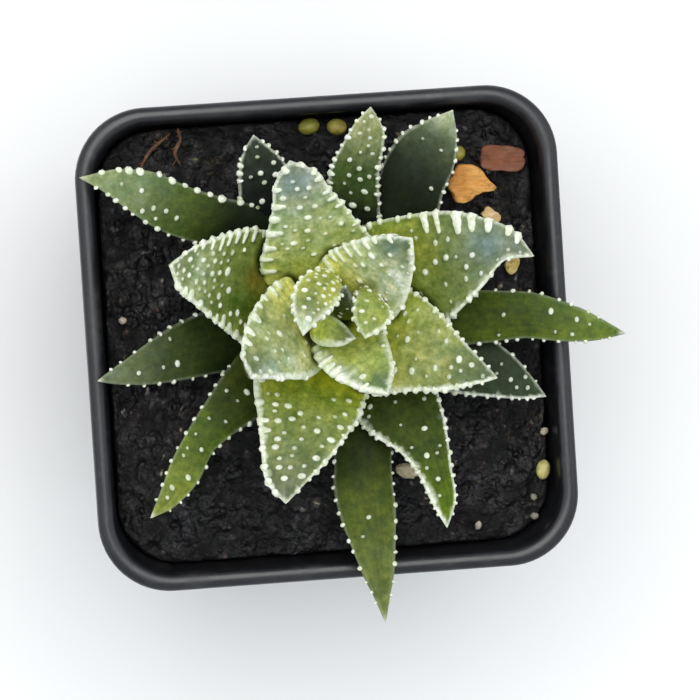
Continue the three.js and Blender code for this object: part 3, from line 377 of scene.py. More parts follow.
class LeafSkin:
    """The closed skin of a leaf, unrolled: x runs round the section in mm (0 on the middle of the upper face),
    y runs along the leaf in mm."""
    NT, NU, NV = 112, 240, 320
    END = 0.990

    def __init__(self, spec, seed):
        NT, NU, NV = self.NT, self.NU, self.NV
        L, R = crom(spec["left"], 400), crom(spec["right"], 400)
        t = np.linspace(0, self.END, NT)
        pick = lambda C: np.stack([np.interp(t, np.linspace(0, 1, 400), C[:, i]) for i in range(3)], axis=1)
        self.tip = L[-1].copy()
        L, R = pick(L), pick(R)
        mid, half = (L + R) / 2, (R - L) / 2
        w = np.linalg.norm(half, axis=1)
        al = np.gradient(mid, axis=0)
        al /= np.linalg.norm(al, axis=1)[:, None]
        nr = np.cross(half, al)
        nr /= np.linalg.norm(nr, axis=1)[:, None]
        for _ in range(3):  # calm the frame where the margins close
            nr[1:-1] = (nr[:-2] + nr[1:-1] * 2 + nr[2:]) / 4
            nr /= np.linalg.norm(nr, axis=1)[:, None]
        full = np.minimum(1, 0.62 + 1.5 * t) * (1 - t ** 2.2) ** 0.6
        upb, low = spec["up"] * full, spec["low"] * full
        edge = np.minimum(0.40 * (1 - t ** 5) ** 0.5 + 0.05, 0.42 * w)
        th = np.linspace(-np.pi, np.pi, NU + 1)
        s, c = np.sin(th), np.cos(th)
        ca = np.abs(c) ** 0.75
        z = np.where(c[None] >= 0, upb[:, None] * (1 - s[None] ** 2) + edge[:, None] * ca[None],
                     -low[:, None] * (1 - np.abs(s[None]) ** 1.4) - edge[:, None] * ca[None])
        S = mid[:, None] + half[:, None] * s[None, :, None] + nr[:, None] * z[..., None]
        arc = np.concatenate([np.zeros((NT, 1)), np.cumsum(np.linalg.norm(np.diff(S, axis=1), axis=2), axis=1)], axis=1)
        P = arc[:, -1]
        arc = arc - arc[:, NU // 2][:, None]
        self.P = P
        self.xm = arc[:, 3 * NU // 4]
        v = np.linspace(-0.5, 0.5, NV + 1)
        Q = np.empty((NT, NV + 1, 3))
        for k in range(NT):
            lo, hi = arc[k, 0], arc[k, -1]
            xs = np.where(v < 0, v * 2 * -lo, v * 2 * hi)
            for i in range(3):
                Q[k, :, i] = np.interp(xs, arc[k], S[k, :, i])
        gk = np.gradient(Q, axis=0)
        gv = np.gradient(Q, axis=1)
        n = np.cross(gv, gk)
        n /= np.maximum(np.linalg.norm(n, axis=2), 1e-9)[..., None]
        self.Q, self.n = Q, n
        self.y = np.concatenate([[0], np.cumsum(np.linalg.norm(np.diff(mid, axis=0), axis=1))])
        self.len = self.y[-1]
        self.t = t
        self.w = w
        self.mid, self.nr, self.al = mid, nr, al

    def at(self, x, y):
        kf = np.clip(np.interp(y, self.y, np.arange(self.NT)), 0, self.NT - 1.0001)
        P = np.interp(kf, np.arange(self.NT), self.P)
        jf = np.clip((x / P + 0.5) * self.NV, 0, self.NV - 0.0001)
        k, j = kf.astype(int), jf.astype(int)
        a, b = (kf - k)[:, None], (jf - j)[:, None]
        g = lambda M: (M[k, j] * (1 - a) + M[k + 1, j] * a) * (1 - b) + (M[k, j + 1] * (1 - a) + M[k + 1, j + 1] * a) * b
        n = g(self.n)
        return g(self.Q), n / np.linalg.norm(n, axis=1)[:, None]

    def crowd(self, tree):
        """How closed in each place is by the leaves round it, 0 to 1, on a coarse net; it sets the shade painted into
        the leaf colour.
        """
        ks, js = np.arange(0, self.NT, 3), np.arange(0, self.NV + 1, 8)
        self.net = np.zeros((len(ks), len(js)))
        for a, k in enumerate(ks):
            for b, j in enumerate(js):
                n = Vector(self.n[k, j])
                p = Vector(self.Q[k, j]) + n * 0.14
                u = n.orthogonal().normalized()
                w = n.cross(u)
                got = 0.0
                for el, count in ((0.30, 5), (0.85, 6), (1.25, 5)):
                    for i in range(count):
                        g = i / count * 2 * math.pi + el * 3
                        d = n * math.cos(el) + (u * math.cos(g) + w * math.sin(g)) * math.sin(el)
                        hit = tree.ray_cast(p, d, 1.7)
                        if hit[0] is not None:
                            got += (1 - hit[3] / 1.7) * (1.25 - 0.4 * el)
                self.net[a, b] = min(1.0, got / 6.0)

    def depth(self, x, y):
        kf = np.interp(y, self.y, np.arange(self.NT)) / 3
        jf = np.clip((x / np.maximum(self.per(y), 1e-6) + 0.5) * self.NV, 0, self.NV) / 8
        kf = np.clip(kf, 0, self.net.shape[0] - 1.001)
        jf = np.clip(jf, 0, self.net.shape[1] - 1.001)
        k, j = kf.astype(int), jf.astype(int)
        a, b = kf - k, jf - j
        g = self.net
        return (g[k, j] * (1 - a) + g[k + 1, j] * a) * (1 - b) + (g[k, j + 1] * (1 - a) + g[k + 1, j + 1] * a) * b

    def margin(self, y):
        return np.interp(y, self.y, self.xm)

    def per(self, y):
        return np.interp(y, self.y, self.P)

    def tt(self, y):
        return np.interp(y, self.y, self.t)


def far_enough(p, r, tubs, gap, foot=1.16):
    for q in tubs:
        dx, dy = p[0] - q[0], p[1] - q[1]
        # reach of each ellipse along the line between the two centres
        d = math.hypot(dx, dy)
        if d > 5:
            continue
        ux, uy = (dx / d, dy / d) if d > 1e-6 else (1, 0)
        ra = 1 / math.sqrt((ux / q[2]) ** 2 + (uy / q[3]) ** 2)
        rb = 1 / math.sqrt((ux / r[0]) ** 2 + (uy / r[1]) ** 2)
        if d < (ra + rb) * foot + gap:
            return False
    return True


def pair(value):
    return value if isinstance(value, tuple) else (value, value)


def tubercles(sk, look, rng):
    """[x, y, half length round the section, half length along the leaf, height, whiteness]"""
    out = []
    y0, y1 = look.get("from", 0.3) * sk.len, sk.len - 0.8
    steps, beads, smooth_edge = pair(look["step"]), pair(look["bead"]), pair(look.get("plain", 0.0))
    begin, quiet = pair(look.get("begin", 0.0)), pair(look.get("quiet", 0.0))
    for i, side in enumerate((-1, 1)):
        bar = look["bar"][i]
        y = y0 + rng.uniform(0, 1)
        while y < y1:
            k = float(smooth(0.0, 0.22, (sk.len - y) / sk.len))
            b = beads[i] * (0.70 + 0.55 * rng.random()) * (0.72 + 0.28 * k)
            a = max(b, bar / 2 * (0.60 + 0.6 * rng.random()) * (0.45 + 0.55 * k))
            early = y < begin[i] * sk.len
            if early:
                b *= 0.94
                a = b * 1.1
            m = float(sk.margin(y))
            if a > 0.9 * m:
                a = max(0.28, 0.4 * m)
            x = side * (m - max(0.0, a - 0.32) - 0.10 * rng.random() + 0.05 - (0.22 if early else 0.0))
            if m > 0.85 and rng.random() > (quiet[i] if early else smooth_edge[i]) and far_enough((x, y), (a, b), out, 0.02):
                out.append([x, y, a, b, look["rise"] * (0.70 + 0.5 * rng.random()), rng.uniform(0.72, 1.0)])
            y += steps[i] * (0.66 + 0.68 * rng.random()) * (0.70 + 0.30 * k)
    # a second, inner row on margins that carry two
    for i, side in enumerate((-1, 1)):
        if not pair(look.get("double", 0.0))[i]:
            continue
        y = max(y0 + 0.1 * sk.len, begin[i] * sk.len)
        while y < y1:
            m = float(sk.margin(y))
            r = rng.uniform(0.24, 0.46)
            x = side * (m - rng.uniform(1.15, 1.95) - max(0.0, look["bar"][i] - 0.9))
            if m > 2.2 and rng.random() < pair(look["double"])[i] and far_enough((x, y), (r * 1.25, r), out, 0.05):
                out.append([x, y, r * 1.25, r, look["rise"] * 0.85, rng.uniform(0.66, 0.95)])
            y += 1.15 * rng.uniform(0.8, 1.25)
    # upper face
    made = 0
    for _ in range(9000):
        if made >= look["dots"]:
            break
        y = rng.uniform(y0, y1)
        t = float(sk.tt(y))
        m = float(sk.margin(y))
        reach = m - 0.80
        if reach < 0.2:
            continue
        x = rng.uniform(-reach, reach)
        if rng.random() > float(smooth(look["bare"], look["bare"] + 0.25, t)) * (0.45 + 0.55 * abs(x) / m):
            continue
        u = rng.random() ** 1.5
        r = (0.19 + 0.19 * u) * look.get("dot", 1.0)
        q = (r * rng.uniform(0.95, 1.35), r)
        if far_enough((x, y), q, out, look.get("space", rng.uniform(0.28, 0.75))):
            out.append([x, y, q[0], q[1], look["rise"] * min(0.85, 0.42 + 0.5 * u), 0.44 + 0.34 * u + 0.10 * rng.random()])
            made += 1
    # lower face, in broken cross rows
    rows = np.arange(0.22 * sk.len, sk.len - 1.2, 1.5)
    for i, yr in enumerate(rows):
        m, half = float(sk.margin(yr)), float(sk.per(yr)) / 2
        if half - m < 1.2:
            continue
        for side in (-1, 1):
            x = m + 0.95 + rng.uniform(0, 0.8)
            while x < half - 0.65:
                yy = yr + rng.normal() * 0.22
                a, b = rng.uniform(0.30, 0.52), rng.uniform(0.26, 0.36)
                if rng.random() < 0.80 and far_enough((side * x, yy), (a, b), out, 0.16):
                    out.append([side * x, yy, a, b, look["rise"] * 0.9, rng.uniform(0.60, 0.95)])
                x += rng.uniform(1.1, 1.8)
    return out


RINGS = ((0.0, 1, 1.0, 1.0), (0.50, 7, 0.88, 1.0), (0.84, 11, 0.44, 0.95), (1.12, 12, 0.0, 0.0))


def leaf_mesh(name, spec, look, seed):
    rng = np.random.default_rng(seed)
    sk = SKINS[name]
    tubs = tubercles(sk, look, rng)
    T = np.array(tubs) if tubs else np.zeros((0, 6))
    step = look.get("grid", 0.62)
    L = sk.len
    pts, kind = [], []

    # boundary loop: up the right side, across the tip, down the left side, back along the base
    yb = np.concatenate([np.linspace(0, L - 2.4, max(10, int(L / 0.55))), np.linspace(L - 2.4, L, 13)[1:]])
    nb = len(yb) - 1
    P = sk.per(yb)
    loop, rgt, lft = [], [], []
    nbase, ntip = 24, 7
    for i in range(nb + 1):
        rgt.append(len(pts)); pts.append((P[i] / 2, yb[i]))
    top_row = [rgt[-1]]
    for u in np.linspace(0.5, -0.5, ntip + 1)[1:-1]:
        top_row.append(len(pts)); pts.append((u * P[-1], L))
    for i in range(nb, -1, -1):
        lft.append(len(pts)); pts.append((-P[i] / 2, yb[i]))
    top_row.append(lft[0])
    base_row = [lft[-1]]
    for u in np.linspace(-0.5, 0.5, nbase + 1)[1:-1]:
        base_row.append(len(pts)); pts.append((u * P[0], 0.0))
    loop = rgt + top_row[1:-1] + lft + base_row[1:]
    base_row.append(rgt[0])
    lft = lft[::-1]
    nfix = len(pts)
    extra = []
    # margin rows
    NARROW = 1.30
    for side in (-1, 1):
        for off in (-0.52, -0.24, 0.0, 0.24, 0.52):
            yy = np.arange(0.5 + (0.2 if abs(off) < 0.3 else 0), L - 0.35, 0.42)
            xx = side * (sk.margin(yy) + off)
            ok = (sk.margin(yy) > NARROW) & (np.abs(xx) < sk.per(yy) / 2 - 0.3)
            extra += [(a, b, 0.0) for a, b in zip(xx[ok], yy[ok])]
    # rows across the tip, where the blade is too narrow for those
    for yy in np.arange(0.4 * L, L - 0.06, 0.24):
        m, half = float(sk.margin(yy)), float(sk.per(yy)) / 2
        if m > NARROW:
            continue
        for u in ((-1, -0.72, -0.38, 0, 0.38, 0.72, 1) if m > 0.45 else (-1, 0, 1)):
            extra.append((u * m, yy, 0.0))
        for u in (-1, 1):
            if half - m > 0.5:
                extra.append((u * (m + 0.24), yy, 0.0))
            extra.append((u * (m + half) / 2, yy, 0.0))
    # grid
    for r, yy in enumerate(np.arange(0.45, L - 0.3, step * 0.87)):
        half = float(sk.per(yy)) / 2 - 0.35
        m = float(sk.margin(yy))
        if half <= 0.15 or (m < NARROW and yy > 0.4 * L):
            continue
        xx = np.arange(-half + (step / 2 if r % 2 else 0), half, step)
        for x in xx:
            if abs(abs(x) - m) < 0.75:
                continue
            extra.append((x, yy, 0.0))
    E = np.array(extra)
    if len(T):
        dx = (E[:, None, 0] - T[None, :, 0]) / (T[None, :, 2] * 1.12 + 0.14)
        dy = (E[:, None, 1] - T[None, :, 1]) / (T[None, :, 3] * 1.12 + 0.14)
        p = np.where(T[:, 2] < 1.5 * T[:, 3], 2.0, 4.0)
        E = E[(np.abs(dx) ** p + np.abs(dy) ** p).min(axis=1) > 1.0]
    rise = [0.0] * nfix + [0.0] * len(E)
    white = [0.0] * nfix + [0.0] * len(E)
    pts += [(a, b) for a, b in E[:, :2]]
    for x, y, a, b, h, pw in tubs:
        ph = rng.uniform(0, 6.28)
        core = 0.0 if a < 1.5 * b else a - b
        knob, out_to = rng.uniform(0, 6.28), math.copysign(1.0, x)
        for f, n, hh, ww in RINGS:
            if core and f == 0.0:  # a long bar has a ridge
                for u in np.linspace(-1, 1, max(2, int(core / 0.13))):
                    pts.append((x + core * u, y)); white.append(ww * pw)
                    rise.append(h * (1 + 0.14 * math.sin(knob + 5.2 * u * core)) * (0.86 + 0.18 * u * out_to))
                continue
            ring = []
            if core:
                if f == 0.5:
                    continue
                way = 4 * core + 2 * math.pi * b
                n = max(12, int(way / 0.25))
                for i in range(n):
                    q = i / n * way
                    if q < 2 * core:
                        ring.append((-core + q, 1.0, 0.0))
                    elif q < 2 * core + math.pi * b:
                        w = (q - 2 * core) / b
                        ring.append((core, math.cos(w), math.sin(w)))
                    elif q < 4 * core + math.pi * b:
                        ring.append((3 * core + math.pi * b - q, -1.0, 0.0))
                    else:
                        w = (q - 4 * core - math.pi * b) / b
                        ring.append((-core, -math.cos(w), -math.sin(w)))
                ring = [(x + c + b * f * v, y + b * f * u * (1 + 0.10 * math.sin(knob + 5.2 * c)) * (1 + 0.20 * out_to * c / core)) for c, u, v in ring]
            else:
                for i in range(n):
                    w = ph * f + i / n * 2 * math.pi
                    ring.append((x + a * f * math.cos(w), y + b * f * math.sin(w)))
            for px, py in ring:
                lim = float(sk.per(py)) / 2 - 0.12
                if abs(px) > lim or py > L - 0.1 or py < 0.1:
                    continue
                pts.append((px, py)); rise.append(h * hh); white.append(ww * pw)
    res = geometry.delaunay_2d_cdt([Vector(p) for p in pts], [], [loop], 1, 1e-5)
    v2, faces, orig = res[0], [list(f) for f in res[2]], res[3]
    v2 = np.array([tuple(p) for p in v2])
    n2 = len(v2)
    R, W = np.zeros(n2), np.zeros(n2)
    where = {}
    for i, o in enumerate(orig):
        for k in o:
            where[k] = i
            R[i], W[i] = max(R[i], rise[k]), max(W[i], white[k])
    pos, nor = sk.at(v2[:, 0], v2[:, 1])
    mrg = sk.margin(v2[:, 1])
    dist = np.abs(np.abs(v2[:, 0]) - mrg)
    side = (v2[:, 0] > 0).astype(int)
    wide = np.array(pair(look.get("band", 0.30)))[side] * (0.75 + 0.5 * np.array([0.5 + 0.5 * noise.noise(Vector(p * 0.9)) for p in pos]))
    lines_at = np.array(pair(look.get("line", 0.6)))[side]
    mar = 1 - smooth(wide, wide + 0.26, dist)
    wob = np.array([noise.noise(Vector(p * 0.22)) for p in pos]) * look.get("wob", 0.22) * smooth(0, 0.25, v2[:, 1] / L) * (1 - smooth(0.86, 1.0, v2[:, 1] / L))
    pos = pos + nor * (R + 0.05 * mar + wob)[:, None]
    # join the two sides of the seam
    swap = {where[b]: where[a] for a, b in zip(rgt, lft)}
    faces = [[swap.get(i, i) for i in f] for f in faces]
    faces = [f for f in faces if len(set(f)) == len(f)]
    ring = [where[i] for i in base_row]
    ring = [swap.get(i, i) for i in ring][:-1]
    c = len(pos)
    add = [pos[ring].mean(axis=0)]
    for i in range(len(ring)):
        faces.append([c, ring[(i + 1) % len(ring)], ring[i]])
    ring = [swap.get(where[i], where[i]) for i in top_row][:-1]
    add.append(sk.tip)
    for i in range(len(ring)):
        faces.append([c + 1, ring[(i + 1) % len(ring)], ring[i]])
    pos = np.vstack([pos, add])
    tt = np.concatenate([sk.tt(v2[:, 1]), [0, 1]])
    sx = np.concatenate([v2[:, 0] / np.maximum(mrg, 0.3), [0, 0]])
    W = np.concatenate([W, [0, 0.7]])
    mar = np.concatenate([mar * lines_at, [0, 1]])
    # drop what nothing uses
    used = sorted({i for f in faces for i in f})
    back = {o: i for i, o in enumerate(used)}
    faces = [[back[i] for i in f] for f in faces]
    pos, tt, sx, W, mar = pos[used], tt[used], sx[used], W[used], mar[used]
    faces = outward(pos, faces)

    # colour along and across the leaf
    base, midc, tipc = (lin(q) for q in look["c"])
    a = smooth(look.get("low", 0.22), 0.62, tt)[:, None]
    b = smooth(0.62, 0.96, tt)[:, None]
    col = (base * (1 - a) + midc * a) * (1 - b) + tipc * b
    for t0, s0, dt, ds, shade, k in look.get("patch", ()):
        wgt = k * np.exp(-((tt - t0) / dt) ** 2 - ((sx - s0) / ds) ** 2) * (np.abs(sx) < 1.15)
        col = col * (1 - wgt[:, None]) + lin(shade) * wgt[:, None]
    under = smooth(1.0, 1.25, np.abs(sx))[:, None]
    col = col * (1 - under) + (col * np.array([0.80, 0.86, 0.80])) * under
    lines = look.get("shade", 0.12) * (1 - np.abs(np.clip(sx, -1, 1)))[:, None] * (1 - under)
    col = col * (1 - lines)
    wax = look.get("wax", 0.3) * smooth(0.45, 0.95, tt) * (1 - 0.6 * under[:, 0])
    marw = np.maximum(mar * smooth(0.22, 0.45, tt), 0.75 * smooth(0.955, 0.995, tt) * (1 - under[:, 0]))
    # painted shade: the colour darkens where the leaves round a place close it in
    painted_crowd_shade = look.get("painted_crowd_shade", 1.0) * np.concatenate([sk.depth(v2[:, 0], v2[:, 1]), [1.0, 0.0]])[used]
    return pos, faces, dict(col=col, tub=W, mar=marw, wax=wax, along=tt, across=sx, painted_crowd_shade=painted_crowd_shade)


# How each leaf looks. c: colours at the base, the middle and near the tip. Two numbers are for the left and the right
# margin. bar: length of the raised bars there. bead: half their width. step: their spacing. plain: share of them left out.
# begin: how far up the leaf the bars start, with smaller beads below that, and quiet: share of those beads left out.
# line and band: strength and half width of the white edge line. double: share of a second row. dots: how many lie on
# the upper face, and bare: how far up the leaf they start. wax: grey bloom towards the tip. deep: how strongly shade is
# painted into the closed in places. patch: soft spots of another colour (place along, place across, reach along, reach
# across, colour, strength).
OUTER = dict(bar=(0.60, 0.60), bead=0.29, step=1.9, rise=0.30, dots=2, bare=0.45, wax=0.15, line=0.15, band=0.16, shade=0.12, low=0.40)
MIDDLE = dict(bar=(1.1, 1.1), bead=0.31, step=1.30, rise=0.34, dots=18, bare=0.30, wax=0.35, line=0.85, band=0.24, shade=0.10)
INNER = dict(bar=(1.0, 1.0), bead=0.31, step=1.15, rise=0.32, dots=8, bare=0.36, wax=0.25, line=0.9, band=0.26, shade=0.06, **{"from": 0.36})
# leaf_02, leaf_06 and leaf_10 lie under the leaves above them: their colours are partly their own dark green and partly
# painted shade.
LOOKS = {
    "leaf_01": dict(OUTER, c=((17, 27, 3), (66, 83, 19), (129, 140, 83)), dots=7, bare=0.5, step=(1.7, 1.8), bead=(0.38, 0.44), wax=0.35,
                    patch=((0.80, 0.1, 0.10, 0.8, (140, 158, 118), 0.45),)),
    "leaf_02": dict(OUTER, c=((30, 41, 5), (53, 65, 15), (89, 98, 54)), dots=4, wax=0.4),
    "leaf_03": dict(OUTER, c=((50, 60, 12), (74, 94, 22), (127, 135, 40)), step=1.8, dots=12, bare=0.2, bead=0.30),
    "leaf_04": dict(OUTER, c=((39, 51, 3), (76, 88, 17), (101, 111, 46)), step=1.7, dots=2),
    "leaf_05": dict(OUTER, c=((50, 62, 14), (60, 76, 14), (90, 112, 5)), wax=0.0, step=1.25, dots=14, bare=0.15, line=(1.1, 1.3), band=(0.2, 0.42),
                    bar=(0.8, 1.0)),
    "leaf_06": dict(OUTER, bead=(0.27, 0.33), c=((10, 15, 6), (31, 44, 17), (37, 52, 22)), step=(1.9, 1.25), dots=9, line=(0.5, 1.0), band=(0.16, 0.28)),
    "leaf_07": dict(OUTER, c=((66, 80, 16), (65, 81, 6), (97, 117, 28)), step=1.7, dots=7),
    "leaf_08": dict(OUTER, c=((20, 27, 5), (22, 29, 9), (84, 98, 64)), step=1.35, dots=3, wax=0.15, line=0.35,
                    patch=((0.93, 0.0, 0.06, 1.2, (178, 186, 162), 0.85),)),
    "leaf_09": dict(OUTER, c=((16, 21, 6), (57, 76, 30), (145, 150, 104)), step=1.25, dots=26, wax=0.05, bare=0.2, dot=1.1, bar=(1.0, 1.0), line=0.6),
    # painted shade: leaf_10 lies under leaf_14, and its near-black colours hold that shade
    "leaf_10": dict(OUTER, c=((3, 5, 3), (4, 7, 3), (30, 36, 13)), step=1.1, bead=0.34, dots=10, bar=(0.9, 0.9), line=0.6),
    "leaf_11": dict(MIDDLE, c=((178, 187, 92), (162, 176, 124), (126, 129, 117)), bar=(2.3, 1.4), bead=(0.52, 0.38), step=(2.0, 1.7), dot=1.18, wax=0.4, dots=24,
                    patch=((0.84, -0.2, 0.10, 0.6, (118, 140, 138), 0.75),)),
    "leaf_12": dict(MIDDLE, c=((106, 117, 28), (123, 136, 74), (116, 128, 84)), bar=(1.9, 2.0), bead=(0.46, 0.32), step=(1.6, 1.3), dot=1.3, wax=0.1, dots=30, bare=0.52, space=0.24, double=(0.85, 0.3), line=(1.05, 0.9), band=(0.46, 0.24),
                    patch=((0.46, -0.40, 0.15, 0.34, (74, 102, 30), 0.65), (0.40, 0.12, 0.07, 0.22, (96, 76, 22), 0.7), (0.93, 0.0, 0.06, 1.2, (188, 196, 172), 0.3), (0.77, 0.05, 0.07, 0.9, (184, 196, 156), 0.6))),
    "leaf_13": dict(MIDDLE, c=((132, 153, 58), (110, 124, 64), (103, 106, 73)), bar=(2.9, 0.9), bead=(0.42, 0.34), step=(1.8, 1.5), dot=1.18, dots=22, wax=0.4, line=(0.7, 1.4), band=(0.22, 0.36), plain=(0.0, 0.55), double=(0.0, 0.0), begin=(0.50, 0.0),
                    patch=((0.80, -0.1, 0.12, 0.7, (104, 128, 130), 0.7), (0.42, -0.5, 0.14, 0.5, (150, 148, 30), 0.5))),
    "leaf_14": dict(MIDDLE, c=((200, 206, 70), (152, 160, 97), (73, 91, 48)), dot=1.2, dots=20, wax=0.2, line=(0.6, 1.3), band=(0.18, 0.46), step=(1.5, 1.15), bar=(0.9, 1.1)),
    "leaf_15": dict(MIDDLE, c=((157, 169, 24), (119, 132, 72), (93, 98, 66)), bar=(1.0, 1.6), bead=(0.40, 0.56), step=(1.5, 1.8), dot=1.25, dots=18, bare=0.36, begin=(0.2, 0.52), quiet=(0.3, 0.95), wax=0.3, line=1.0, band=(0.26, 0.50), double=(0.35, 1.0)),
    "leaf_16": dict(INNER, dots=13, c=((228, 228, 134), (165, 175, 120), (100, 110, 63)), bar=(0.7, 1.7), bead=(0.30, 0.44), step=(1.2, 1.75), dot=1.2, line=(1.35, 0.9), band=(0.46, 0.26), plain=(0.75, 0.0),
                    patch=((0.66, -0.62, 0.16, 0.5, (196, 204, 172), 0.7), (0.86, -0.5, 0.07, 0.35, (196, 206, 206), 0.7),)),
    "leaf_17": dict(INNER, painted_crowd_shade=0.5, dots=8, c=((228, 228, 102), (200, 210, 156), (72, 86, 36)), bar=(2.1, 0.7), bead=(0.42, 0.30), step=(1.75, 1.2), dot=1.1, line=(0.9, 1.35), band=(0.26, 0.40), plain=(0.0, 0.8), double=(0.8, 0.0),
                    patch=((0.84, -0.35, 0.10, 0.55, (100, 124, 108), 0.85), (0.63, 0.50, 0.13, 0.50, (228, 228, 214), 0.95))),
    "leaf_18": dict(INNER, c=((169, 185, 38), (178, 188, 98), (109, 130, 63)), bar=(0.5, 2.1), bead=(0.30, 0.42), step=(1.15, 1.5), dots=2, line=(0.9, 1.1), band=(0.40, 0.66), plain=(0.9, 0.1),
                    patch=((0.90, -0.3, 0.08, 0.5, (76, 98, 62), 0.8), (0.50, 0.80, 0.07, 0.24, (222, 228, 206), 0.85), (0.61, 0.68, 0.05, 0.20, (120, 140, 110), 0.5), (0.69, 0.74, 0.06, 0.30, (226, 230, 226), 0.9), (0.78, 0.66, 0.045, 0.22, (112, 134, 120), 0.6), (0.86, 0.80, 0.05, 0.22, (220, 228, 222), 0.85))),
    "leaf_19": dict(INNER, painted_crowd_shade=0.4, c=((222, 224, 112), (164, 170, 72), (107, 117, 70)), dots=32, bare=0.25, bar=(0.8, 0.8), step=0.95, line=0.8, band=(0.40, 0.22), space=0.20,
                    patch=((0.70, 0.1, 0.14, 0.5, (104, 120, 52), 0.7), (0.95, 0.0, 0.08, 1.2, (206, 216, 184), 0.7))),
    "leaf_20": dict(INNER, painted_crowd_shade=0.6, c=((210, 208, 150), (136, 149, 68), (148, 158, 68)), dots=9, bar=(1.0, 0.6), line=(1.0, 0.5), band=(0.34, 0.2),
                    patch=((0.50, -0.1, 0.12, 0.6, (176, 176, 60), 0.6),)),
    "leaf_21": dict(INNER, painted_crowd_shade=0.7, c=((158, 168, 78), (182, 196, 84), (80, 90, 16)), dots=2, bar=(0.4, 0.4), line=(0.5, 0.9), band=(0.16, 0.46), plain=(0.9, 1.0)),
    "leaf_22": dict(INNER, painted_crowd_shade=0.28, c=((100, 114, 34), (66, 77, 6), (38, 44, 3)), dots=3, bar=(0.4, 0.4), line=0.2),
}


# ------------------------------------------------------------------ materials
def leaf_material(name, rough, sss, gloss):
    m = Mat(name)
    skin = m.attr("col", "Color")
    comb = m.nt.nodes.new("ShaderNodeCombineXYZ")
    m.link(m.attr("across"), comb.inputs[0])
    m.link(m.attr("along"), comb.inputs[1])
    m.link(m.attr("seed"), comb.inputs[2])
    stretch = m.nt.nodes.new("ShaderNodeMapping")
    stretch.inputs["Scale"].default_value = (5.5, 1.4, 3.0)
    m.link(comb.outputs[0], stretch.inputs["Vector"])
    streak = m.noise(1.0, 4, 0.6, stretch.outputs[0])
    cloud = m.noise(300, 3, 0.55)
    blotch = m.noise(950, 3, 0.6)
    cell = m.noise(2200, 3, 0.6)
    hue = m.noise(460, 3, 0.55)
    col = m.mix(1.0, skin, m.ramp(streak, [(0.30, (0.78, 0.82, 0.74)), (0.70, (1.20, 1.16, 1.20))]), "MULTIPLY")
    col = m.mix(1.0, col, m.ramp(cloud, [(0.32, (0.76, 0.82, 0.70)), (0.68, (1.24, 1.18, 1.22))]), "MULTIPLY")
    col = m.mix(1.0, col, m.ramp(blotch, [(0.34, (0.66, 0.74, 0.56)), (0.50, (0.98, 0.98, 0.97)), (0.66, (1.30, 1.24, 1.36))]), "MULTIPLY")
    col = m.mix(1.0, col, m.ramp(cell, [(0.35, (0.86, 0.88, 0.82)), (0.66, (1.14, 1.12, 1.16))]), "MULTIPLY")
    col = m.mix(1.0, col, m.ramp(hue, [(0.36, (1.05, 1.01, 0.86)), (0.50, (1.0, 1.0, 1.0)), (0.64, (0.94, 1.0, 1.16))]), "MULTIPLY")
    bloom = m.math("MULTIPLY", m.attr("wax"), m.range(m.noise(520, 4, 0.6), 0.32, 0.68, 0.25, 1.0))
    col = m.mix(m.math("MULTIPLY", bloom, 0.55), col, (0.26, 0.35, 0.29))
    edge = m.math("MULTIPLY", m.attr("mar"), m.range(m.noise(1300, 3, 0.6), 0.32, 0.56, 0.55, 1.0))
    white = m.math("MAXIMUM", m.range(m.attr("tub"), 0.12, 0.82, 0.0, 1.0), edge)
    pale = m.ramp(m.noise(1700, 3, 0.6), [(0.34, (0.62, 0.68, 0.46)), (0.50, (0.80, 0.84, 0.69)), (0.64, (0.92, 0.93, 0.86))])
    pale = m.mix(0.10, pale, skin)
    col = m.mix(white, col, pale)
    # painted shade in the places closed in by the leaves round them
    painted_crowd_shade = m.math("ADD", m.attr("painted_crowd_shade"), m.range(blotch, 0.3, 0.7, -0.06, 0.06))
    col = m.mix(1.0, col, m.ramp(painted_crowd_shade, [(0.14, (1.0, 1.0, 1.0)), (0.36, (0.70, 0.72, 0.58)), (0.66, (0.26, 0.28, 0.16)), (0.95, (0.10, 0.11, 0.06))]), "MULTIPLY")
    fine = m.noise(3600, 3, 0.6)
    nrm = m.bump(streak, 0.15, 0.00020)
    nrm = m.bump(blotch, 0.30, 0.00012, nrm)
    nrm = m.bump(fine, 0.35, 0.00006, nrm)
    r = m.range(m.math("ADD", m.math("MULTIPLY", bloom, 0.6), m.math("MULTIPLY", cloud, 0.5)), 0.1, 0.9, rough - 0.07, rough + 0.14)
    m.set(Base_Color=col, Roughness=r, Normal=nrm)
    m.bsdf.inputs["Subsurface Weight"].default_value = sss
    m.bsdf.inputs["Subsurface Radius"].default_value = (0.55, 0.9, 0.22)
    m.bsdf.inputs["Subsurface Scale"].default_value = 0.0012
    m.bsdf.inputs["Specular IOR Level"].default_value = gloss
    return m.mat


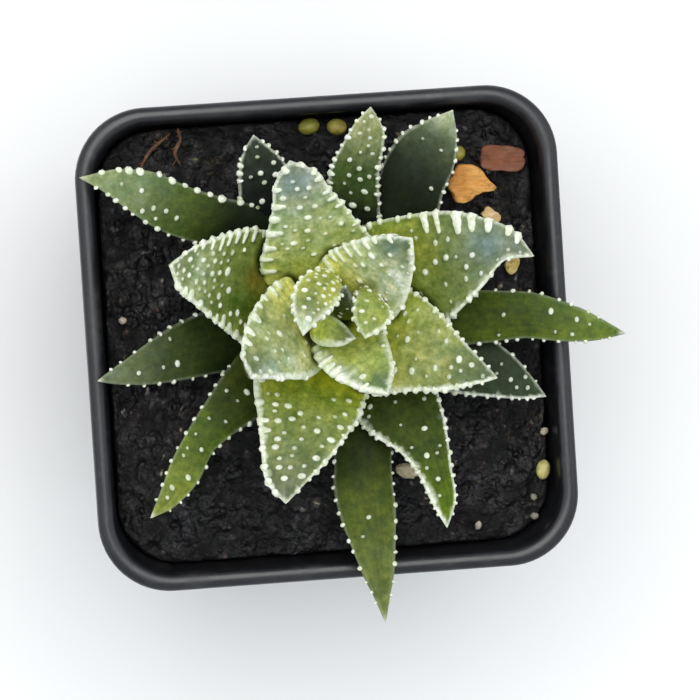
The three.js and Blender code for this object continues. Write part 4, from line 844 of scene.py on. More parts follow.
def plastic_material():
    m = Mat("black_plastic")
    grain = m.noise(900, 4, 0.6)
    cloud = m.noise(60, 4, 0.6)
    scuff = m.noise(1, 3, 0.6, m.coord((260, 60, 900)))
    dust = m.range(m.noise(240, 5, 0.7), 0.52, 0.78, 0.0, 1.0)
    geo = m.nt.nodes.new("ShaderNodeNewGeometry")
    sep = m.nt.nodes.new("ShaderNodeSeparateXYZ")
    m.link(geo.outputs["Normal"], sep.inputs[0])
    level = m.range(sep.outputs["Z"], 0.1, 0.95, 0.0, 1.0)
    col = m.ramp(cloud, [(0.3, (0.0036, 0.0040, 0.0062)), (0.7, (0.0062, 0.0070, 0.0105))])
    col = m.mix(m.math("MULTIPLY", m.math("MULTIPLY", dust, level), 0.10), col, (0.16, 0.16, 0.17))
    inner = m.attr("inside")
    splash = m.range(m.noise(150, 6, 0.72), 0.56, 0.74, 0.0, 1.0)
    col = m.mix(m.math("MULTIPLY", splash, 0.30), col, (0.060, 0.054, 0.048))
    haze = m.range(m.noise(38, 4, 0.55), 0.40, 0.68, 0.0, 1.0)
    col = m.mix(m.math("MULTIPLY", haze, 0.07), col, (0.10, 0.10, 0.11))
    drip = m.range(m.noise(1, 5, 0.6, m.coord((420, 420, 46))), 0.60, 0.74, 0.0, 1.0)
    col = m.mix(m.math("MULTIPLY", drip, 0.14), col, (0.13, 0.13, 0.135))
    col = m.mix(m.math("MULTIPLY", inner, m.range(m.noise(420, 5, 0.7), 0.46, 0.72, 0.0, 0.40)), col, (0.024, 0.018, 0.015))
    r = m.range(m.math("ADD", m.math("MULTIPLY", cloud, 0.6), m.math("MULTIPLY", scuff, 0.4)), 0.3, 0.7, 0.26, 0.40)
    r = m.math("ADD", r, m.math("MULTIPLY", dust, 0.12))
    r = m.math("ADD", r, m.math("MULTIPLY", splash, 0.18))
    nrm = m.bump(grain, 0.25, 0.00010)
    nrm = m.bump(scuff, 0.12, 0.00012, nrm)
    m.set(Base_Color=col, Roughness=r, Normal=nrm)
    m.bsdf.inputs["Specular IOR Level"].default_value = 0.55
    return m.mat


def compost_material():
    m = Mat("compost")
    col = m.attr("col", "Color")
    warp = m.coord((1, 1, 0.8), (0.3, 0.2, 0.5))
    big = m.voronoi(620, vec=warp)
    small = m.voronoi(1500)
    tone = m.voronoi(620, vec=warp, out="Color")
    tone2 = m.voronoi(1500, out="Color")
    sep, sep2 = m.nt.nodes.new("ShaderNodeSeparateColor"), m.nt.nodes.new("ShaderNodeSeparateColor")
    m.link(tone, sep.inputs[0])
    m.link(tone2, sep2.inputs[0])
    mott = m.noise(1100, 5, 0.75)
    col = m.mix(1.0, col, m.ramp(sep.outputs[0], [(0.0, (0.40, 0.40, 0.42)), (0.6, (0.95, 0.94, 0.93)), (1.0, (1.9, 1.8, 1.75))]), "MULTIPLY")
    col = m.mix(1.0, col, m.ramp(sep2.outputs[0], [(0.0, (0.55, 0.55, 0.57)), (0.7, (1.0, 1.0, 1.0)), (0.9, (1.6, 1.55, 1.5)), (1.0, (3.4, 3.3, 3.1))]), "MULTIPLY")
    # painted shade in the cracks between granules: darker towards each cell's edge, where the bump sinks
    col = m.mix(1.0, col, m.ramp(big, [(0.30, (1.15, 1.15, 1.15)), (0.62, (0.30, 0.30, 0.32))]), "MULTIPLY")
    col = m.mix(1.0, col, m.ramp(small, [(0.28, (1.20, 1.20, 1.20)), (0.60, (0.45, 0.45, 0.46))]), "MULTIPLY")
    col = m.mix(1.0, col, m.ramp(mott, [(0.32, (0.45, 0.45, 0.45)), (0.52, (1.0, 1.0, 1.0)), (0.72, (1.7, 1.65, 1.6))]), "MULTIPLY")
    hue = m.noise(130, 4, 0.62)  # browner and bluer places
    col = m.mix(1.0, col, m.ramp(hue, [(0.34, (1.30, 1.02, 0.74)), (0.46, (1.0, 1.0, 0.92)), (0.54, (0.92, 0.94, 1.0)), (0.68, (0.92, 0.90, 1.20))]), "MULTIPLY")
    col = m.mix(1.0, col, m.ramp(m.noise(70, 3, 0.6), [(0.35, (0.62, 0.62, 0.63)), (0.65, (1.18, 1.17, 1.16))]), "MULTIPLY")
    r = m.range(m.noise(320, 3, 0.6), 0.35, 0.65, 0.50, 0.90)
    up = m.math("SUBTRACT", 1.0, m.math("MULTIPLY", big, 1.3))
    up2 = m.math("SUBTRACT", 1.0, m.math("MULTIPLY", small, 1.3))
    nrm = m.bump(up, 0.9, 0.00050)
    nrm = m.bump(up2, 0.8, 0.00022, nrm)
    nrm = m.bump(m.noise(2600, 5, 0.7), 0.6, 0.00010, nrm)
    m.set(Base_Color=col, Roughness=r, Normal=nrm)
    m.bsdf.inputs["Specular IOR Level"].default_value = 0.40
    return m.mat


def stem_material():
    m = Mat("stem_and_root")
    rings = m.noise(1, 4, 0.6, m.coord((160, 160, 900)))
    spots = m.noise(700, 4, 0.6)
    col = m.ramp(rings, [(0.3, (0.26, 0.20, 0.09)), (0.55, (0.46, 0.42, 0.22)), (0.75, (0.58, 0.56, 0.34))])
    col = m.mix(m.range(spots, 0.55, 0.7, 0.0, 0.6), col, (0.12, 0.08, 0.045))
    m.set(Base_Color=col, Roughness=m.range(spots, 0.3, 0.7, 0.55, 0.85), Normal=m.bump(rings, 0.5, 0.0003))
    return m.mat


def bark_material():
    m = Mat("bark")
    col = m.attr("col", "Color")
    grain = m.noise(1, 5, 0.65, m.coord((420, 2600, 2600), (0.2, 0.3, 0.5)))
    blot = m.noise(600, 4, 0.6)
    col = m.mix(1.0, col, m.ramp(grain, [(0.28, (0.66, 0.57, 0.48)), (0.5, (0.97, 0.95, 0.93)), (0.72, (1.22, 1.19, 1.12))]), "MULTIPLY")
    col = m.mix(1.0, col, m.ramp(m.noise(260, 3, 0.6), [(0.40, (1.10, 1.12, 1.25)), (0.60, (0.97, 0.80, 0.58))]), "MULTIPLY")
    col = m.mix(m.range(blot, 0.58, 0.72, 0.0, 0.75), col, (0.10, 0.045, 0.022))
    m.set(Base_Color=col, Roughness=m.range(blot, 0.3, 0.7, 0.62, 0.92), Normal=m.bump(grain, 0.6, 0.00025))
    return m.mat


def prill_material():
    m = Mat("fertiliser")
    n = m.noise(900, 4, 0.6)
    col = m.attr("col", "Color")
    col = m.mix(1.0, col, m.ramp(n, [(0.3, (0.62, 0.60, 0.50)), (0.7, (1.25, 1.22, 1.15))]), "MULTIPLY")
    col = m.mix(m.range(m.noise(420, 3, 0.6), 0.60, 0.74, 0.0, 0.7), col, (0.10, 0.075, 0.035))
    m.set(Base_Color=col, Roughness=m.range(n, 0.3, 0.7, 0.35, 0.6), Normal=m.bump(n, 0.4, 0.0002))
    m.bsdf.inputs["Subsurface Weight"].default_value = 0.1
    m.bsdf.inputs["Subsurface Scale"].default_value = 0.001
    return m.mat


def perlite_material():
    m = Mat("perlite")
    n = m.noise(1500, 5, 0.7)
    col = m.mix(1.0, m.attr("col", "Color"), m.ramp(n, [(0.25, (0.60, 0.56, 0.50)), (0.5, (0.98, 0.97, 0.95)), (0.7, (1.14, 1.14, 1.12))]), "MULTIPLY")
    col = m.mix(m.range(m.noise(900, 3, 0.6), 0.56, 0.70, 0.0, 0.65), col, (0.11, 0.09, 0.07))
    m.set(Base_Color=col, Roughness=m.range(n, 0.3, 0.7, 0.75, 0.95), Normal=m.bump(n, 0.8, 0.0003))
    return m.mat


def fibre_material():
    m = Mat("fibre")
    n = m.noise(1, 4, 0.6, m.coord((900, 900, 900)))
    col = m.ramp(n, [(0.3, (0.050, 0.024, 0.012)), (0.6, (0.14, 0.065, 0.030)), (0.8, (0.26, 0.15, 0.08))])
    m.set(Base_Color=col, Roughness=m.range(n, 0.3, 0.7, 0.6, 0.9), Normal=m.bump(n, 0.5, 0.0002))
    return m.mat


def floor_material():
    m = Mat("floor")
    n = m.noise(6, 4, 0.6)
    f = m.noise(900, 3, 0.6)
    col = m.ramp(n, [(0.3, (0.850, 0.850, 0.852)), (0.7, (0.880, 0.879, 0.878))])
    m.set(Base_Color=col, Roughness=m.range(f, 0.3, 0.7, 0.62, 0.72), Normal=m.bump(f, 0.05, 0.0001))
    m.bsdf.inputs["Specular IOR Level"].default_value = 0.3
    return m.mat


MAT = {
    "leaf_outer": leaf_material("leaf_outer", 0.62, 0.05, 0.16),
    "leaf_middle": leaf_material("leaf_middle", 0.56, 0.10, 0.24),
    "leaf_inner": leaf_material("leaf_inner", 0.54, 0.12, 0.32),
    "black_plastic": plastic_material(),
    "compost": compost_material(),
    "stem_and_root": stem_material(),
    "bark": bark_material(),
    "fertiliser": prill_material(),
    "perlite": perlite_material(),
    "fibre": fibre_material(),
}


def piece(name, node, slot, verts, faces, attrs=None, flat=False):
    ob = new_object(name, verts, faces, MAT[slot], attrs, flat)
    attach(ob, "root")
    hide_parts(node)
    return ob


# ------------------------------------------------------------------ leaves
SKINS = {n: LeafSkin(q, 0) for n, q in sorted(LEAVES.items())}
tv, tf = [], []
for sk in SKINS.values():
    rows, cols = sk.Q[::4, ::8].shape[:2]
    o = len(tv)
    tv += [Vector(p) for p in sk.Q[::4, ::8].reshape(-1, 3)]
    tf += [(o + r * cols + c, o + r * cols + c + 1, o + (r + 1) * cols + c + 1, o + (r + 1) * cols + c) for r in range(rows - 1) for c in range(cols - 1)]
tree = BVHTree.FromPolygons(tv, tf)
for sk in SKINS.values():
    sk.crowd(tree)
for i, (name, spec) in enumerate(sorted(LEAVES.items())):
    v, f, at = leaf_mesh(name, spec, LOOKS[name], 100 + i)
    at["seed"] = np.full(len(v), i * 3.7)
    slot = "leaf_outer" if i < 10 else "leaf_middle" if i < 15 else "leaf_inner"
    piece("spotted_" + name, name, slot, v, f, at)


# ------------------------------------------------------------------ pot
POT_TOP, POT_FOOT, POT_H, WALL = 60.5, 45.2, 58.0, 0.95
RIM_W, RIM_H, FLOOR_T, LIFT = 2.2, 3.0, 1.1, 1.8
TOPH, FOOTH = POT_TOP / 2, POT_FOOT / 2
WALLH = TOPH - RIM_W + WALL
lerp = lambda a, b, t: a + (b - a) * t
outer_half = lambda z: lerp(FOOTH + 0.7, WALLH, (z - 0.9) / (POT_H - RIM_H - 0.9))
inner_half = lambda z: outer_half(z) - WALL
corner_at = lambda z: lerp(7.0, 9.0, z / POT_H)


def rounded(h, r, z, corner=16, side=14):
    out = []
    c = h - r
    for q in range(4):
        cx, cy = (c, -c, -c, c)[q], (c, c, -c, -c)[q]
        arc = [((q + i / corner) * math.pi / 2) for i in range(corner + 1)]
        pts = [(cx + r * math.cos(a), cy + r * math.sin(a)) for a in arc]
        out += pts
        nx, ny = (-c, c, c, -c)[q], (c, -c, -c, c)[q]
        nxt = ((-c, c), (-c, -c), (c, -c), (c, c))[q]
        a1 = (q + 1) * math.pi / 2
        end = (nxt[0] + r * math.cos(a1), nxt[1] + r * math.sin(a1))
        for k in range(1, side):
            u = k / side
            out.append((pts[-1][0] + (end[0] - pts[-1][0]) * u, pts[-1][1] + (end[1] - pts[-1][1]) * u))
    return [(x, y, z) for x, y in out]


def loft(rings, start=None, end=None):
    n = len(rings[0])
    v = [p for r in rings for p in r]
    f = []
    for k in range(len(rings) - 1):
        for i in range(n):
            j = (i + 1) % n
            f.append((k * n + i, k * n + j, (k + 1) * n + j, (k + 1) * n + i))
    if start is not None:
        v.append(start)
        f += [(len(v) - 1, (i + 1) % n, i) for i in range(n)]
    if end is not None:
        v.append(end)
        o = (len(rings) - 1) * n
        f += [(len(v) - 1, o + i, o + (i + 1) % n) for i in range(n)]
    return v, outward(v, f)


def pot_mesh():
    def ring(h, z, r=None):
        r = corner_at(z) - (TOPH - h) * 0.1 if r is None else r
        return rounded(h, r, z)

    prof = [  # half width, height, corner radius: underside, outside, rim, inside, floor
        (7.6, 0, 3.4), (7.75, 0.12, 3.4), (8.65, 1.7, 4.1), (8.8, LIFT, 4.2), (13.5, LIFT, 4.7), (18.2, LIFT, 5.2), (18.35, 1.7, 5.2),
        (19.1, 0.1, 5.6), (19.25, 0, 5.6), (FOOTH - 0.15, 0, 6.4), (FOOTH + 0.18, 0.1, 6.6), (FOOTH + 0.55, 0.5, 6.9), (FOOTH + 0.7, 0.95, 7.0)]
    prof += [(outer_half(z), z, corner_at(z)) for z in (3, 6, 10, 15, 20, 25, 30, 35, 40, 45, 49, 52, 54)]
    prof += [(WALLH - 0.02, POT_H - RIM_H - 0.12, 8.15), (WALLH + 0.12, POT_H - RIM_H, 8.2), (TOPH - 0.5, POT_H - RIM_H + 0.05, 8.75),
             (TOPH - 0.2, POT_H - RIM_H + 0.22, 8.9), (TOPH - 0.03, POT_H - RIM_H + 0.6, 9.0)]
    # rolled top of the rim: an even curve from the outside over to the inside
    for a in range(0, 181, 15):
        w = math.radians(a)
        h = TOPH - RIM_W / 2 + 0.02 + (RIM_W / 2 - 0.02) * math.cos(w)
        top = POT_H - 0.02
        z = top - 0.95 + 0.95 * math.sin(w) ** 0.8 if a <= 90 else top - 1.0 + 1.0 * math.sin(w) ** 0.8
        prof.append((h, z, 9.0 - (TOPH - h) * 0.72))
    prof += [(TOPH - RIM_W - 0.02, POT_H - 1.8, 7.5), (WALLH - WALL + 0.0, POT_H - RIM_H, 7.3)]
    prof += [(inner_half(z), z, corner_at(z) - WALL) for z in (53, 50, 46, 40, 30, 20, 10, 5)]
    prof += [(inner_half(3.4), 3.2, 6.1), (inner_half(2.9) - 0.3, 2.75, 6.0), (20.5, FLOOR_T, 5.4), (19.6, FLOOR_T, 5.1), (18.6, LIFT + FLOOR_T, 4.6),
             (13.5, LIFT + FLOOR_T, 4.1), (8.4, LIFT + FLOOR_T, 3.6), (7.2, FLOOR_T, 2.8)]
    rings = [ring(*p) for p in prof]
    # thin walls are never quite true: a slow bow of a few tenths between the rims
    out = []
    for r, (h, z, _) in zip(rings, prof):
        k = 0.0 if z > 54.5 or z < 3.2 else 0.22 * math.sin(math.pi * (z - 3.2) / 51.3)
        out.append([(x - math.copysign(k * max(0, 1 - (y / h) ** 2) * (abs(x) > h - 0.6), x),
                     y - math.copysign(k * max(0, 1 - (x / h) ** 2) * (abs(y) > h - 0.6), y), zz) for x, y, zz in r])
    return loft(out, (0, 0, 0), (0, 0, FLOOR_T))


def drilled(ob, centres, radius):
    """Cut round drain holes through the floor."""
    cut_v, cut_f = [], []
    for cx, cy in centres:
        rings = [[(cx + r * math.cos(i / 40 * 2 * math.pi), cy + r * math.sin(i / 40 * 2 * math.pi), z) for i in range(40)]
                 for r, z in ((radius, -1.0), (radius, 6.0))]
        v, f = loft(rings, (cx, cy, -1.0), (cx, cy, 6.0))
        o = len(cut_v)
        cut_v += v
        cut_f += [tuple(i + o for i in t) for t in f]
    cutter = new_object("cutter", cut_v, cut_f)
    mod = ob.modifiers.new("holes", "BOOLEAN")
    mod.operation, mod.object, mod.solver = "DIFFERENCE", cutter, "EXACT"
    dg = bpy.context.evaluated_depsgraph_get()
    me = bpy.data.meshes.new_from_object(ob.evaluated_get(dg))
    ob.modifiers.clear()
    old = ob.data
    ob.data = me
    bpy.data.meshes.remove(old)
    cm = cutter.data
    bpy.data.objects.remove(cutter)
    bpy.data.meshes.remove(cm)


v, f = pot_mesh()
pot = piece("nursery_pot", "pot", "black_plastic", v, f)
drilled(pot, [(sx * 13.6, sy * 13.6) for sx in (-1, 1) for sy in (-1, 1)], 3.0)
me = pot.data
P = np.empty(len(me.vertices) * 3, dtype=np.float32)
me.vertices.foreach_get("co", P)
P = P.reshape(-1, 3) / MM
h = np.maximum(np.abs(P[:, 0]), np.abs(P[:, 1]))
ins = ((P[:, 2] < 56.8) & (P[:, 2] > 1.0) & (h < outer_half(P[:, 2]) - 0.45)).astype(np.float32)
a = me.attributes.new("inside", "FLOAT", "POINT")
a.data.foreach_set("value", ins)
me.shade_smooth()
me.set_sharp_from_angle(angle=math.radians(42))
if not me.materials:
    me.materials.append(MAT["black_plastic"])


# ------------------------------------------------------------------ compost
SOIL_TOP, SOIL_BOTTOM, GAP = 51.9, LIFT + FLOOR_T + 0.3, 0.3


def soil_height(x, y):
    n = np.sin(x * 0.31 + 1.3) * np.cos(y * 0.27 - 0.6) * 0.5 + np.sin(x * 0.83 - y * 0.61 + 2.1) * 0.22 + np.sin(x * 0.47 + y * 1.07) * 0.18
    d = np.hypot(x - STEM[0], y - STEM[1])
    return SOIL_TOP + n * np.minimum(1, d / 12) - 1.1 * np.exp(-d * d / 120)


def crumbled(x, y):
    """Height of the rough surface."""
    out = soil_height(x, y)
    for i in range(len(out)):
        p = Vector((x[i], y[i], 3.1))
        out[i] += 0.42 * noise.fractal(p * 0.42, 1.0, 2.1, 4) + 0.16 * noise.noise(p * 1.9 + Vector((5, 2, 0)))
    return out


TONES_PEAT = [((12, 12, 13), 0.36), ((20, 20, 22), 0.30), ((31, 31, 33), 0.16), ((44, 42, 42), 0.075), ((60, 49, 43), 0.035), ((66, 67, 70), 0.030),
              ((112, 108, 102), 0.018), ((92, 92, 52), 0.009), ((158, 152, 138), 0.008)]


def soil_piece():
    rng = np.random.default_rng(11)
    inset = GAP + 0.05
    tones = np.array([lin(t[0]) for t in TONES_PEAT])
    probs = np.array([t[1] for t in TONES_PEAT]) / sum(t[1] for t in TONES_PEAT)
    steps = np.cumsum(probs)

    def ring(z):
        return rounded(inner_half(z) - inset, corner_at(z) - WALL - inset, z, 18, 62)

    rings = [ring(SOIL_BOTTOM), ring(12), ring(24), ring(36), ring(45), ring(50.2)]
    low = sum(len(r) for r in rings)
    edge, cr = inner_half(51.1) - inset, corner_at(51) - WALL - inset
    N = 96
    for k in range(N, 0, -1):
        sc = k / N
        rings.append([(x, y, 0.0) for x, y, _ in rounded(edge * sc, cr * sc, 0, 18, 62)])
    v, f = loft(rings, (0, 0, SOIL_BOTTOM), (0, 0, 0))
    v = np.array(v)
    bed = np.ones(len(v), bool)
    bed[:low] = False
    bed[-2] = False
    base = crumbled(v[bed, 0], v[bed, 1])
    col = np.tile(lin((24, 22, 21)), (len(v), 1))
    lift, cc = [], []
    for x, y in v[bed][:, :2]:
        # granules of two sizes, each with a tone of its own
        p = Vector((x * 0.62 + 0.25 * noise.noise(Vector((x, y, 0))), y * 0.62, 4.0))
        d, q = noise.voronoi(p)
        h1 = 0.62 * max(0.0, 1 - (d[0] / 0.60) ** 2) ** 0.7 * (0.35 + 0.65 * abs(math.sin(q[0][0] * 37.7 + q[0][1] * 91.3)))
        p2 = Vector((x * 1.5, y * 1.5, 9.0))
        e, q2 = noise.voronoi(p2)
        h2 = 0.26 * max(0.0, 1 - (e[0] / 0.6) ** 2) ** 0.7 * (0.3 + 0.7 * abs(math.sin(q2[0][0] * 57.7 + q2[0][1] * 31.3)))
        lift.append(h1 + h2 + 0.05 * noise.noise(Vector((x * 4.2, y * 4.2, 1.0))) - 0.22)
        if h2 > 0.10:
            u = abs(math.sin(q2[0][0] * 12.9898 + q2[0][1] * 78.233) * 43758.5453) % 1
        else:
            u = abs(math.sin(q[0][0] * 12.9898 + q[0][1] * 78.233) * 43758.5453) % 1 * 0.93
        # painted shade in the hollows between granules and painted light on their tops: each tone is scaled by the
        # granule's height
        shade = 0.40 + 1.5 * min(1.0, (h1 + h2) / 0.5)
        cc.append(tones[min(int(np.searchsorted(steps, u)), len(tones) - 1)] * shade)
    col[bed] = np.array(cc)
    at_wall = np.zeros(len(v), bool)
    at_wall[low:low + len(rings[-1])] = True
    v[bed, 2] = base + np.array(lift)
    v[at_wall, 2] -= 0.45
    V, F, C = [v], list(f), [col]
    count = len(v)

    def inside(x, y, pad):
        e = edge - pad
        if max(abs(x), abs(y)) > e:
            return False
        c = e - cr
        return not (abs(x) > c and abs(y) > c and math.hypot(abs(x) - c, abs(y) - c) > cr)

    def add(vv, ff, tone):
        nonlocal count
        V.append(vv)
        F.extend(tuple(i + count for i in t) for t in ff)
        C.append(np.tile(tone, (len(vv), 1)) * rng.uniform(0.85, 1.15, (len(vv), 1)))
        count += len(vv)

    # loose crumbs, sunk into the bed
    for k in range(1500):
        size = 0.18 + 0.62 * rng.random() ** 3.0
        x, y = rng.uniform(-edge, edge, 2)
        if not inside(x, y, size + 0.4) or math.hypot(x - STEM[0], y - STEM[1]) < 5:
            continue
        bv, bf = ICO[2 if size > 0.34 else 1]
        sc = size * rng.uniform(0.55, 1.0, 3)
        vv = (bv * sc * (1 + 0.20 * rng.normal(size=(len(bv), 1)))) @ turn(rng).T
        z = float(crumbled(np.array([x]), np.array([y]))[0])
        vv = vv + np.array([x, y, z + size * rng.uniform(-0.35, 0.15)])
        add(vv, outward(vv, bf), tones[rng.choice(len(tones), p=probs)])
    # short rootlets and peat fibres
    for k in range(170):
        x, y = rng.uniform(-edge, edge, 2)
        if not inside(x, y, 1.2) or math.hypot(x - STEM[0], y - STEM[1]) < 6:
            continue
        L = rng.uniform(1.2, 4.2)
        a = rng.uniform(0, 2 * math.pi)
        bend = rng.normal() * 0.9
        pts = []
        for u in np.linspace(0, 1, 7):
            px, py = x + L * u * math.cos(a + bend * u), y + L * u * math.sin(a + bend * u)
            if not inside(px, py, 0.9):
                break
            pts.append((px, py, float(crumbled(np.array([px]), np.array([py]))[0]) + 0.10 + 0.30 * math.sin(math.pi * u) * rng.random()))
        if len(pts) < 4:
            continue
        vv, ff = tube(pts, rng.uniform(0.05, 0.10), 5)
        add(np.array(vv), ff, lin([(30, 25, 22), (52, 38, 29), (76, 60, 46), (24, 21, 19)][rng.integers(4)]))
    V = np.vstack(V)
    C = np.vstack(C)
    return V, F, C


def tube(points, radius, sides=8, taper=0.35):
    P = np.asarray(points, float)
    n = len(P)
    d = np.gradient(P, axis=0)
    d /= np.linalg.norm(d, axis=1)[:, None]
    ref = np.array([0, 0, 1.0])
    rings = []
    for k in range(n):
        s = np.cross(ref, d[k])
        if np.linalg.norm(s) < 1e-3:
            s = np.array([1.0, 0, 0])
        s /= np.linalg.norm(s)
        u = np.cross(d[k], s)
        r = radius * (1 - (1 - taper) * abs(2 * k / (n - 1) - 1) ** 2)
        rings.append([tuple(P[k] + r * (math.cos(w) * s + math.sin(w) * u)) for w in np.arange(sides) / sides * 2 * math.pi])
    return loft(rings, tuple(P[0] - d[0] * radius * taper), tuple(P[-1] + d[-1] * radius * taper))


V, F, C = soil_piece()
piece("peat_compost", "soil", "compost", V, F, dict(col=C))


# ------------------------------------------------------------------ stem and roots, one grown piece
def grown(ob, voxel):
    mod = ob.modifiers.new("join", "REMESH")
    mod.mode, mod.voxel_size, mod.use_smooth_shade = "VOXEL", voxel, True
    dg = bpy.context.evaluated_depsgraph_get()
    me = bpy.data.meshes.new_from_object(ob.evaluated_get(dg))
    ob.modifiers.clear()
    old = ob.data
    ob.data = me
    bpy.data.meshes.remove(old)
    me.shade_smooth()
    return me


STEM_PROFILE = [(38.5, 1.6), (39.2, 2.5), (40, 3.2), (42, 3.75), (44, 4.0), (47, 4.2), (49, 4.3), (52, 4.2), (53.5, 3.95), (55, 3.7), (56.5, 3.3), (58, 2.9),
                (59.5, 2.45), (61, 2.0), (62.3, 1.5), (63.5, 1.1), (65, 0.6)]
ROOTS = [(12, 42.5, 19, 31, 1.15, 9), (58, 41.0, 15, 33, 1.0, -12), (104, 43.0, 18, 24, 1.1, 8), (149, 41.5, 20, 30, 1.0, -9),
         (196, 42.8, 17, 34, 1.15, 12), (241, 41.2, 18, 26, 0.95, -8), (287, 42.6, 15, 32, 1.1, 10), (330, 41.0, 19, 28, 1.0, -10)]


def stem_piece():
    rings = [[(STEM[0] + r * math.cos(w) * (1 + 0.03 * math.sin(5 * w + z)), STEM[1] + r * math.sin(w) * (1 + 0.03 * math.sin(5 * w + z)), z)
              for w in np.arange(28) / 28 * 2 * math.pi] for z, r in STEM_PROFILE]
    v, f = loft(rings, (STEM[0], STEM[1], 38.1), (STEM[0], STEM[1], 65.4))
    v, f = list(v), list(f)
    for deg, z0, reach, depth, thick, bend in ROOTS:
        a = math.radians(deg)
        key = []
        for t in (0.08, 0.25, 0.5, 0.75, 1):
            out = 1.2 + reach * math.sin(t * 1.35) / math.sin(1.35)
            sw = math.radians(bend) * math.sin(t * 3.3)
            key.append((STEM[0] + out * math.cos(a + sw), STEM[1] + out * math.sin(a + sw), z0 - depth * t ** 1.5))
        path = crom(key, 40)
        rr = [thick * lerp(1, 0.45, k / 39) * (1 + 0.05 * math.sin(k * 0.9)) for k in range(40)]
        d = np.gradient(path, axis=0)
        d /= np.linalg.norm(d, axis=1)[:, None]
        rings = []
        for k in range(40):
            s = np.cross((0, 0, 1.0), d[k])
            s /= np.linalg.norm(s)
            u = np.cross(d[k], s)
            rings.append([tuple(path[k] + rr[k] * (math.cos(w) * s + math.sin(w) * u)) for w in np.arange(12) / 12 * 2 * math.pi])
        rv, rf = loft(rings, tuple(path[0] - d[0] * 0.3), tuple(path[-1] + d[-1] * 0.4))
        o = len(v)
        v += rv
        f += [tuple(i + o for i in t) for t in rf]
    return v, f


v, f = stem_piece()
stem = piece("stem_and_fleshy_roots", "stem_with_roots", "stem_and_root", v, f)
grown(stem, 0.42 * MM)
if not stem.data.materials:
    stem.data.materials.append(MAT["stem_and_root"])


# ------------------------------------------------------------------ loose grains
# [x, y, length, width, height, turn in degrees]
GRAINS = {
    "bark_chip_01": (19.57, 17.92, 6.8, 5.3, 2.6, -18),
    "bark_chip_02": (23.75, 21.01, 6, 3.5, 1.9, -8),
    "bark_chip_03": (21.95, 13.65, 2.6, 2, 1.5, -40),
    "bark_chip_04": (24.19, 7.22, 2.5, 1.9, 1.5, 60),
    "prill_01": (18.05, 21.78, 2.2, 2, 1.8, 0),
    "prill_02": (-0.46, 26.47, 2.8, 2.1, 1.9, 10),
    "prill_03": (3.06, 26.16, 2.6, 2.1, 1.9, -10),
    "prill_04": (26.4, -18.81, 2.6, 1.8, 1.8, 78),
    "perlite_01": (-25.25, 3.69, 1.1, 1, 0.9, 0),
    "perlite_02": (26.98, -13.98, 1.2, 1, 0.9, 40),
    "perlite_03": (25.1, -24.57, 1.1, 0.95, 0.9, 10),
    "perlite_04": (17.84, -25.25, 1.2, 0.9, 0.9, 70),
    "perlite_05": (25.12, -22.18, 1, 0.9, 0.8, 120),
    "perlite_06": (9.3, -17.71, 3.2, 2, 1.6, -15),
}
TONES = {
    "bark_chip_01": (206, 154, 80), "bark_chip_02": (126, 82, 62), "bark_chip_03": (218, 200, 158), "bark_chip_04": (204, 200, 136),
    "prill_01": (148, 146, 62), "prill_02": (128, 128, 50), "prill_03": (140, 132, 56), "prill_04": (192, 186, 122),
    "perlite_01": (198, 184, 168), "perlite_02": (186, 176, 162), "perlite_03": (150, 146, 136), "perlite_04": (176, 170, 160),
    "perlite_05": (140, 136, 124), "perlite_06": (206, 194, 160),
}
# broken outlines of the bark chips: [direction in degrees, reach]
OUTLINES = {
    "bark_chip_01": [(-164, 1.05), (-142, 0.86), (-118, 0.98), (-92, 0.80), (-52, 0.50), (-16, 0.62), (6, 1.16), (24, 0.84), (44, 0.72), (72, 0.80), (112, 0.88),
                     (138, 1.00), (166, 0.86)],
    "bark_chip_02": [(-160, 1.05), (-138, 1.20), (-90, 0.86), (-44, 1.16), (-20, 1.10), (8, 1.00), (34, 1.18), (60, 0.94), (100, 0.84), (142, 1.16), (172, 0.98)],
    "bark_chip_03": [(-150, 1.0), (-100, 0.7), (-60, 1.1), (-10, 0.9), (40, 1.1), (95, 0.75), (140, 1.1), (180, 0.8)],
    "bark_chip_04": [(-140, 1.0), (-80, 0.8), (-30, 1.1), (30, 0.8), (80, 1.1), (150, 0.8)],
}


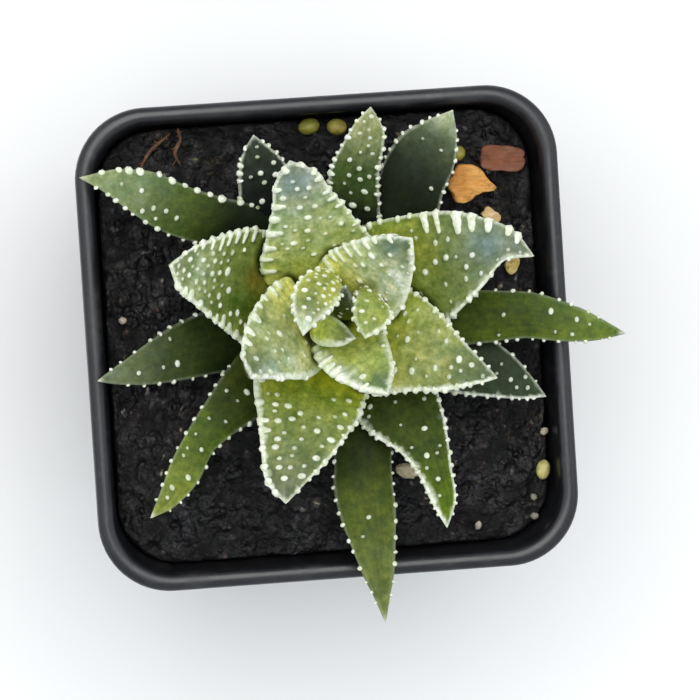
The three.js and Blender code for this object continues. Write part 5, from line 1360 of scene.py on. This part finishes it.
def grain_piece(name):
    x, y, l, w, h, deg = GRAINS[name]
    lo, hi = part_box(name)
    mid = [(a + b) / 2 / MM for a, b in zip(lo, hi)]
    rng = np.random.default_rng(sum(map(ord, name)))
    kind = name.split("_")[0]
    v, f = ICO[4 if l > 2.4 else 3]
    v = v.copy()
    if kind == "bark":
        # a flat flake with a broken outline and stepped, fibrous faces
        o = sorted(OUTLINES[name])
        o = [(o[-1][0] - 360, o[-1][1])] + o + [(o[0][0] + 360, o[0][1])]
        rho = np.hypot(v[:, 0], v[:, 1])
        reach = np.interp(np.degrees(np.arctan2(v[:, 1], v[:, 0])), [p[0] for p in o], [p[1] for p in o])
        grow = np.minimum(1.0, rho * 1.22) / np.maximum(rho, 1e-6) * reach
        v[:, 0] *= grow
        v[:, 1] *= grow
        v[:, 2] = np.sign(v[:, 2]) * np.minimum(1, np.abs(v[:, 2]) * 1.5)
        ridge = fbm(v * np.array([0.5, 3.2, 0.8]), 1.7, 4)
        step = fbm(v * np.array([1.0, 1.6, 0.2]) + 9, 1.3, 2)
        v[:, 2] *= 0.78 + 0.34 * ridge + 0.30 * np.round(step * 3) / 3
        v[:, :2] *= (1 + 0.05 * fbm(v + 3, 3.0, 3))[:, None]
    elif kind == "prill":
        rough = fbm(v, 1.6, 3)
        v *= (1 + 0.06 * rough - 0.05 * smooth(0.25, 0.6, rough))[:, None]
    else:
        rough = fbm(v, 2.4, 4)
        v *= (1 + 0.16 * rough - 0.10 * smooth(0.1, 0.4, fbm(v + 7, 4.5, 2)))[:, None]
    v /= np.maximum(np.abs(v).max(axis=0), 1e-6)
    v *= np.array([l / 2, w / 2, h / 2]) * 0.99
    a = math.radians(deg)
    R = np.array([[math.cos(a), -math.sin(a), 0], [math.sin(a), math.cos(a), 0], [0, 0, 1]])
    v = v @ R.T
    v += np.array([mid[0], mid[1], 0])
    z0 = lo[2] / MM
    v[:, 2] += z0 - v[:, 2].min()
    slot = {"bark": "bark", "prill": "fertiliser", "perlite": "perlite"}[kind]
    col = np.tile(lin(TONES.get(name, (220, 215, 200))), (len(v), 1))
    piece("loose_" + name, name, slot, v, outward(v, f), dict(col=col))


for name in GRAINS:
    grain_piece(name)


def fibre_piece(name, points):
    pts = np.array([(x, y, float(soil_height(np.array(x), np.array(y))) + GAP + 0.25 + lift) for x, y, lift in points])
    rng = np.random.default_rng(len(name) + int(name[-1]) * 5)
    path = crom(pts, 36)
    path += 0.05 * rng.normal(size=path.shape).cumsum(axis=0) * 0.25
    v, f = tube(path, 0.26, 10)
    v, f = list(v), list(f)
    for _ in range(9):  # frayed strands
        k = rng.integers(3, 30)
        d = rng.normal(size=3) * (1, 1, 0.25)
        d /= np.linalg.norm(d)
        L = rng.uniform(0.5, 1.1)
        seg = np.array([path[k] + d * L * u + np.array([0, 0, 0.12 * math.sin(u * 3)]) for u in np.linspace(0, 1, 6)])
        sv, sf = tube(seg, 0.07, 6)
        o = len(v)
        v += sv
        f += [tuple(i + o for i in t) for t in sf]
    piece("loose_" + name, name, "fibre", v, f)


for name, pts in FIBRES.items():
    fibre_piece(name, pts)


# ------------------------------------------------------------------ floor and light
fl = 4000.0
floor = new_object("floor", [(-fl, -fl, 0), (fl, -fl, 0), (fl, fl, 0), (-fl, fl, 0)], [(0, 1, 2, 3)], floor_material())

world = bpy.data.worlds.new("studio")
bpy.context.scene.world = world
world.use_nodes = True
bg = world.node_tree.nodes["Background"]
bg.inputs["Color"].default_value = (0.93, 0.965, 1.0, 1.0)
bg.inputs["Strength"].default_value = 0.68


def area(name, at, aim, size, power, colour):
    d = bpy.data.lights.new(name, "AREA")
    d.shape, d.size, d.energy, d.color = "DISK", size, power, colour
    o = bpy.data.objects.new(name, d)
    bpy.context.scene.collection.objects.link(o)
    o.location = Vector(at)
    o.rotation_euler = (Vector(aim) - Vector(at)).to_track_quat("-Z", "Y").to_euler()
    return o


area("key", (-0.06, 0.36, 1.34), (0, 0, 0.05), 1.10, 12.2, (1.0, 0.99, 0.965))
area("right", (1.00, 0.12, 0.90), (0, 0, 0.05), 1.20, 2.4, (0.84, 0.92, 1.0))
area("left", (-1.00, 0.12, 0.90), (0, 0, 0.05), 1.20, 2.2, (0.86, 0.93, 1.0))

bpy.context.scene.view_settings.view_transform = "Standard"
bpy.context.scene.view_settings.look = "None"
bpy.context.scene.view_settings.exposure = 0.0
bpy.context.scene.view_settings.gamma = 1.0
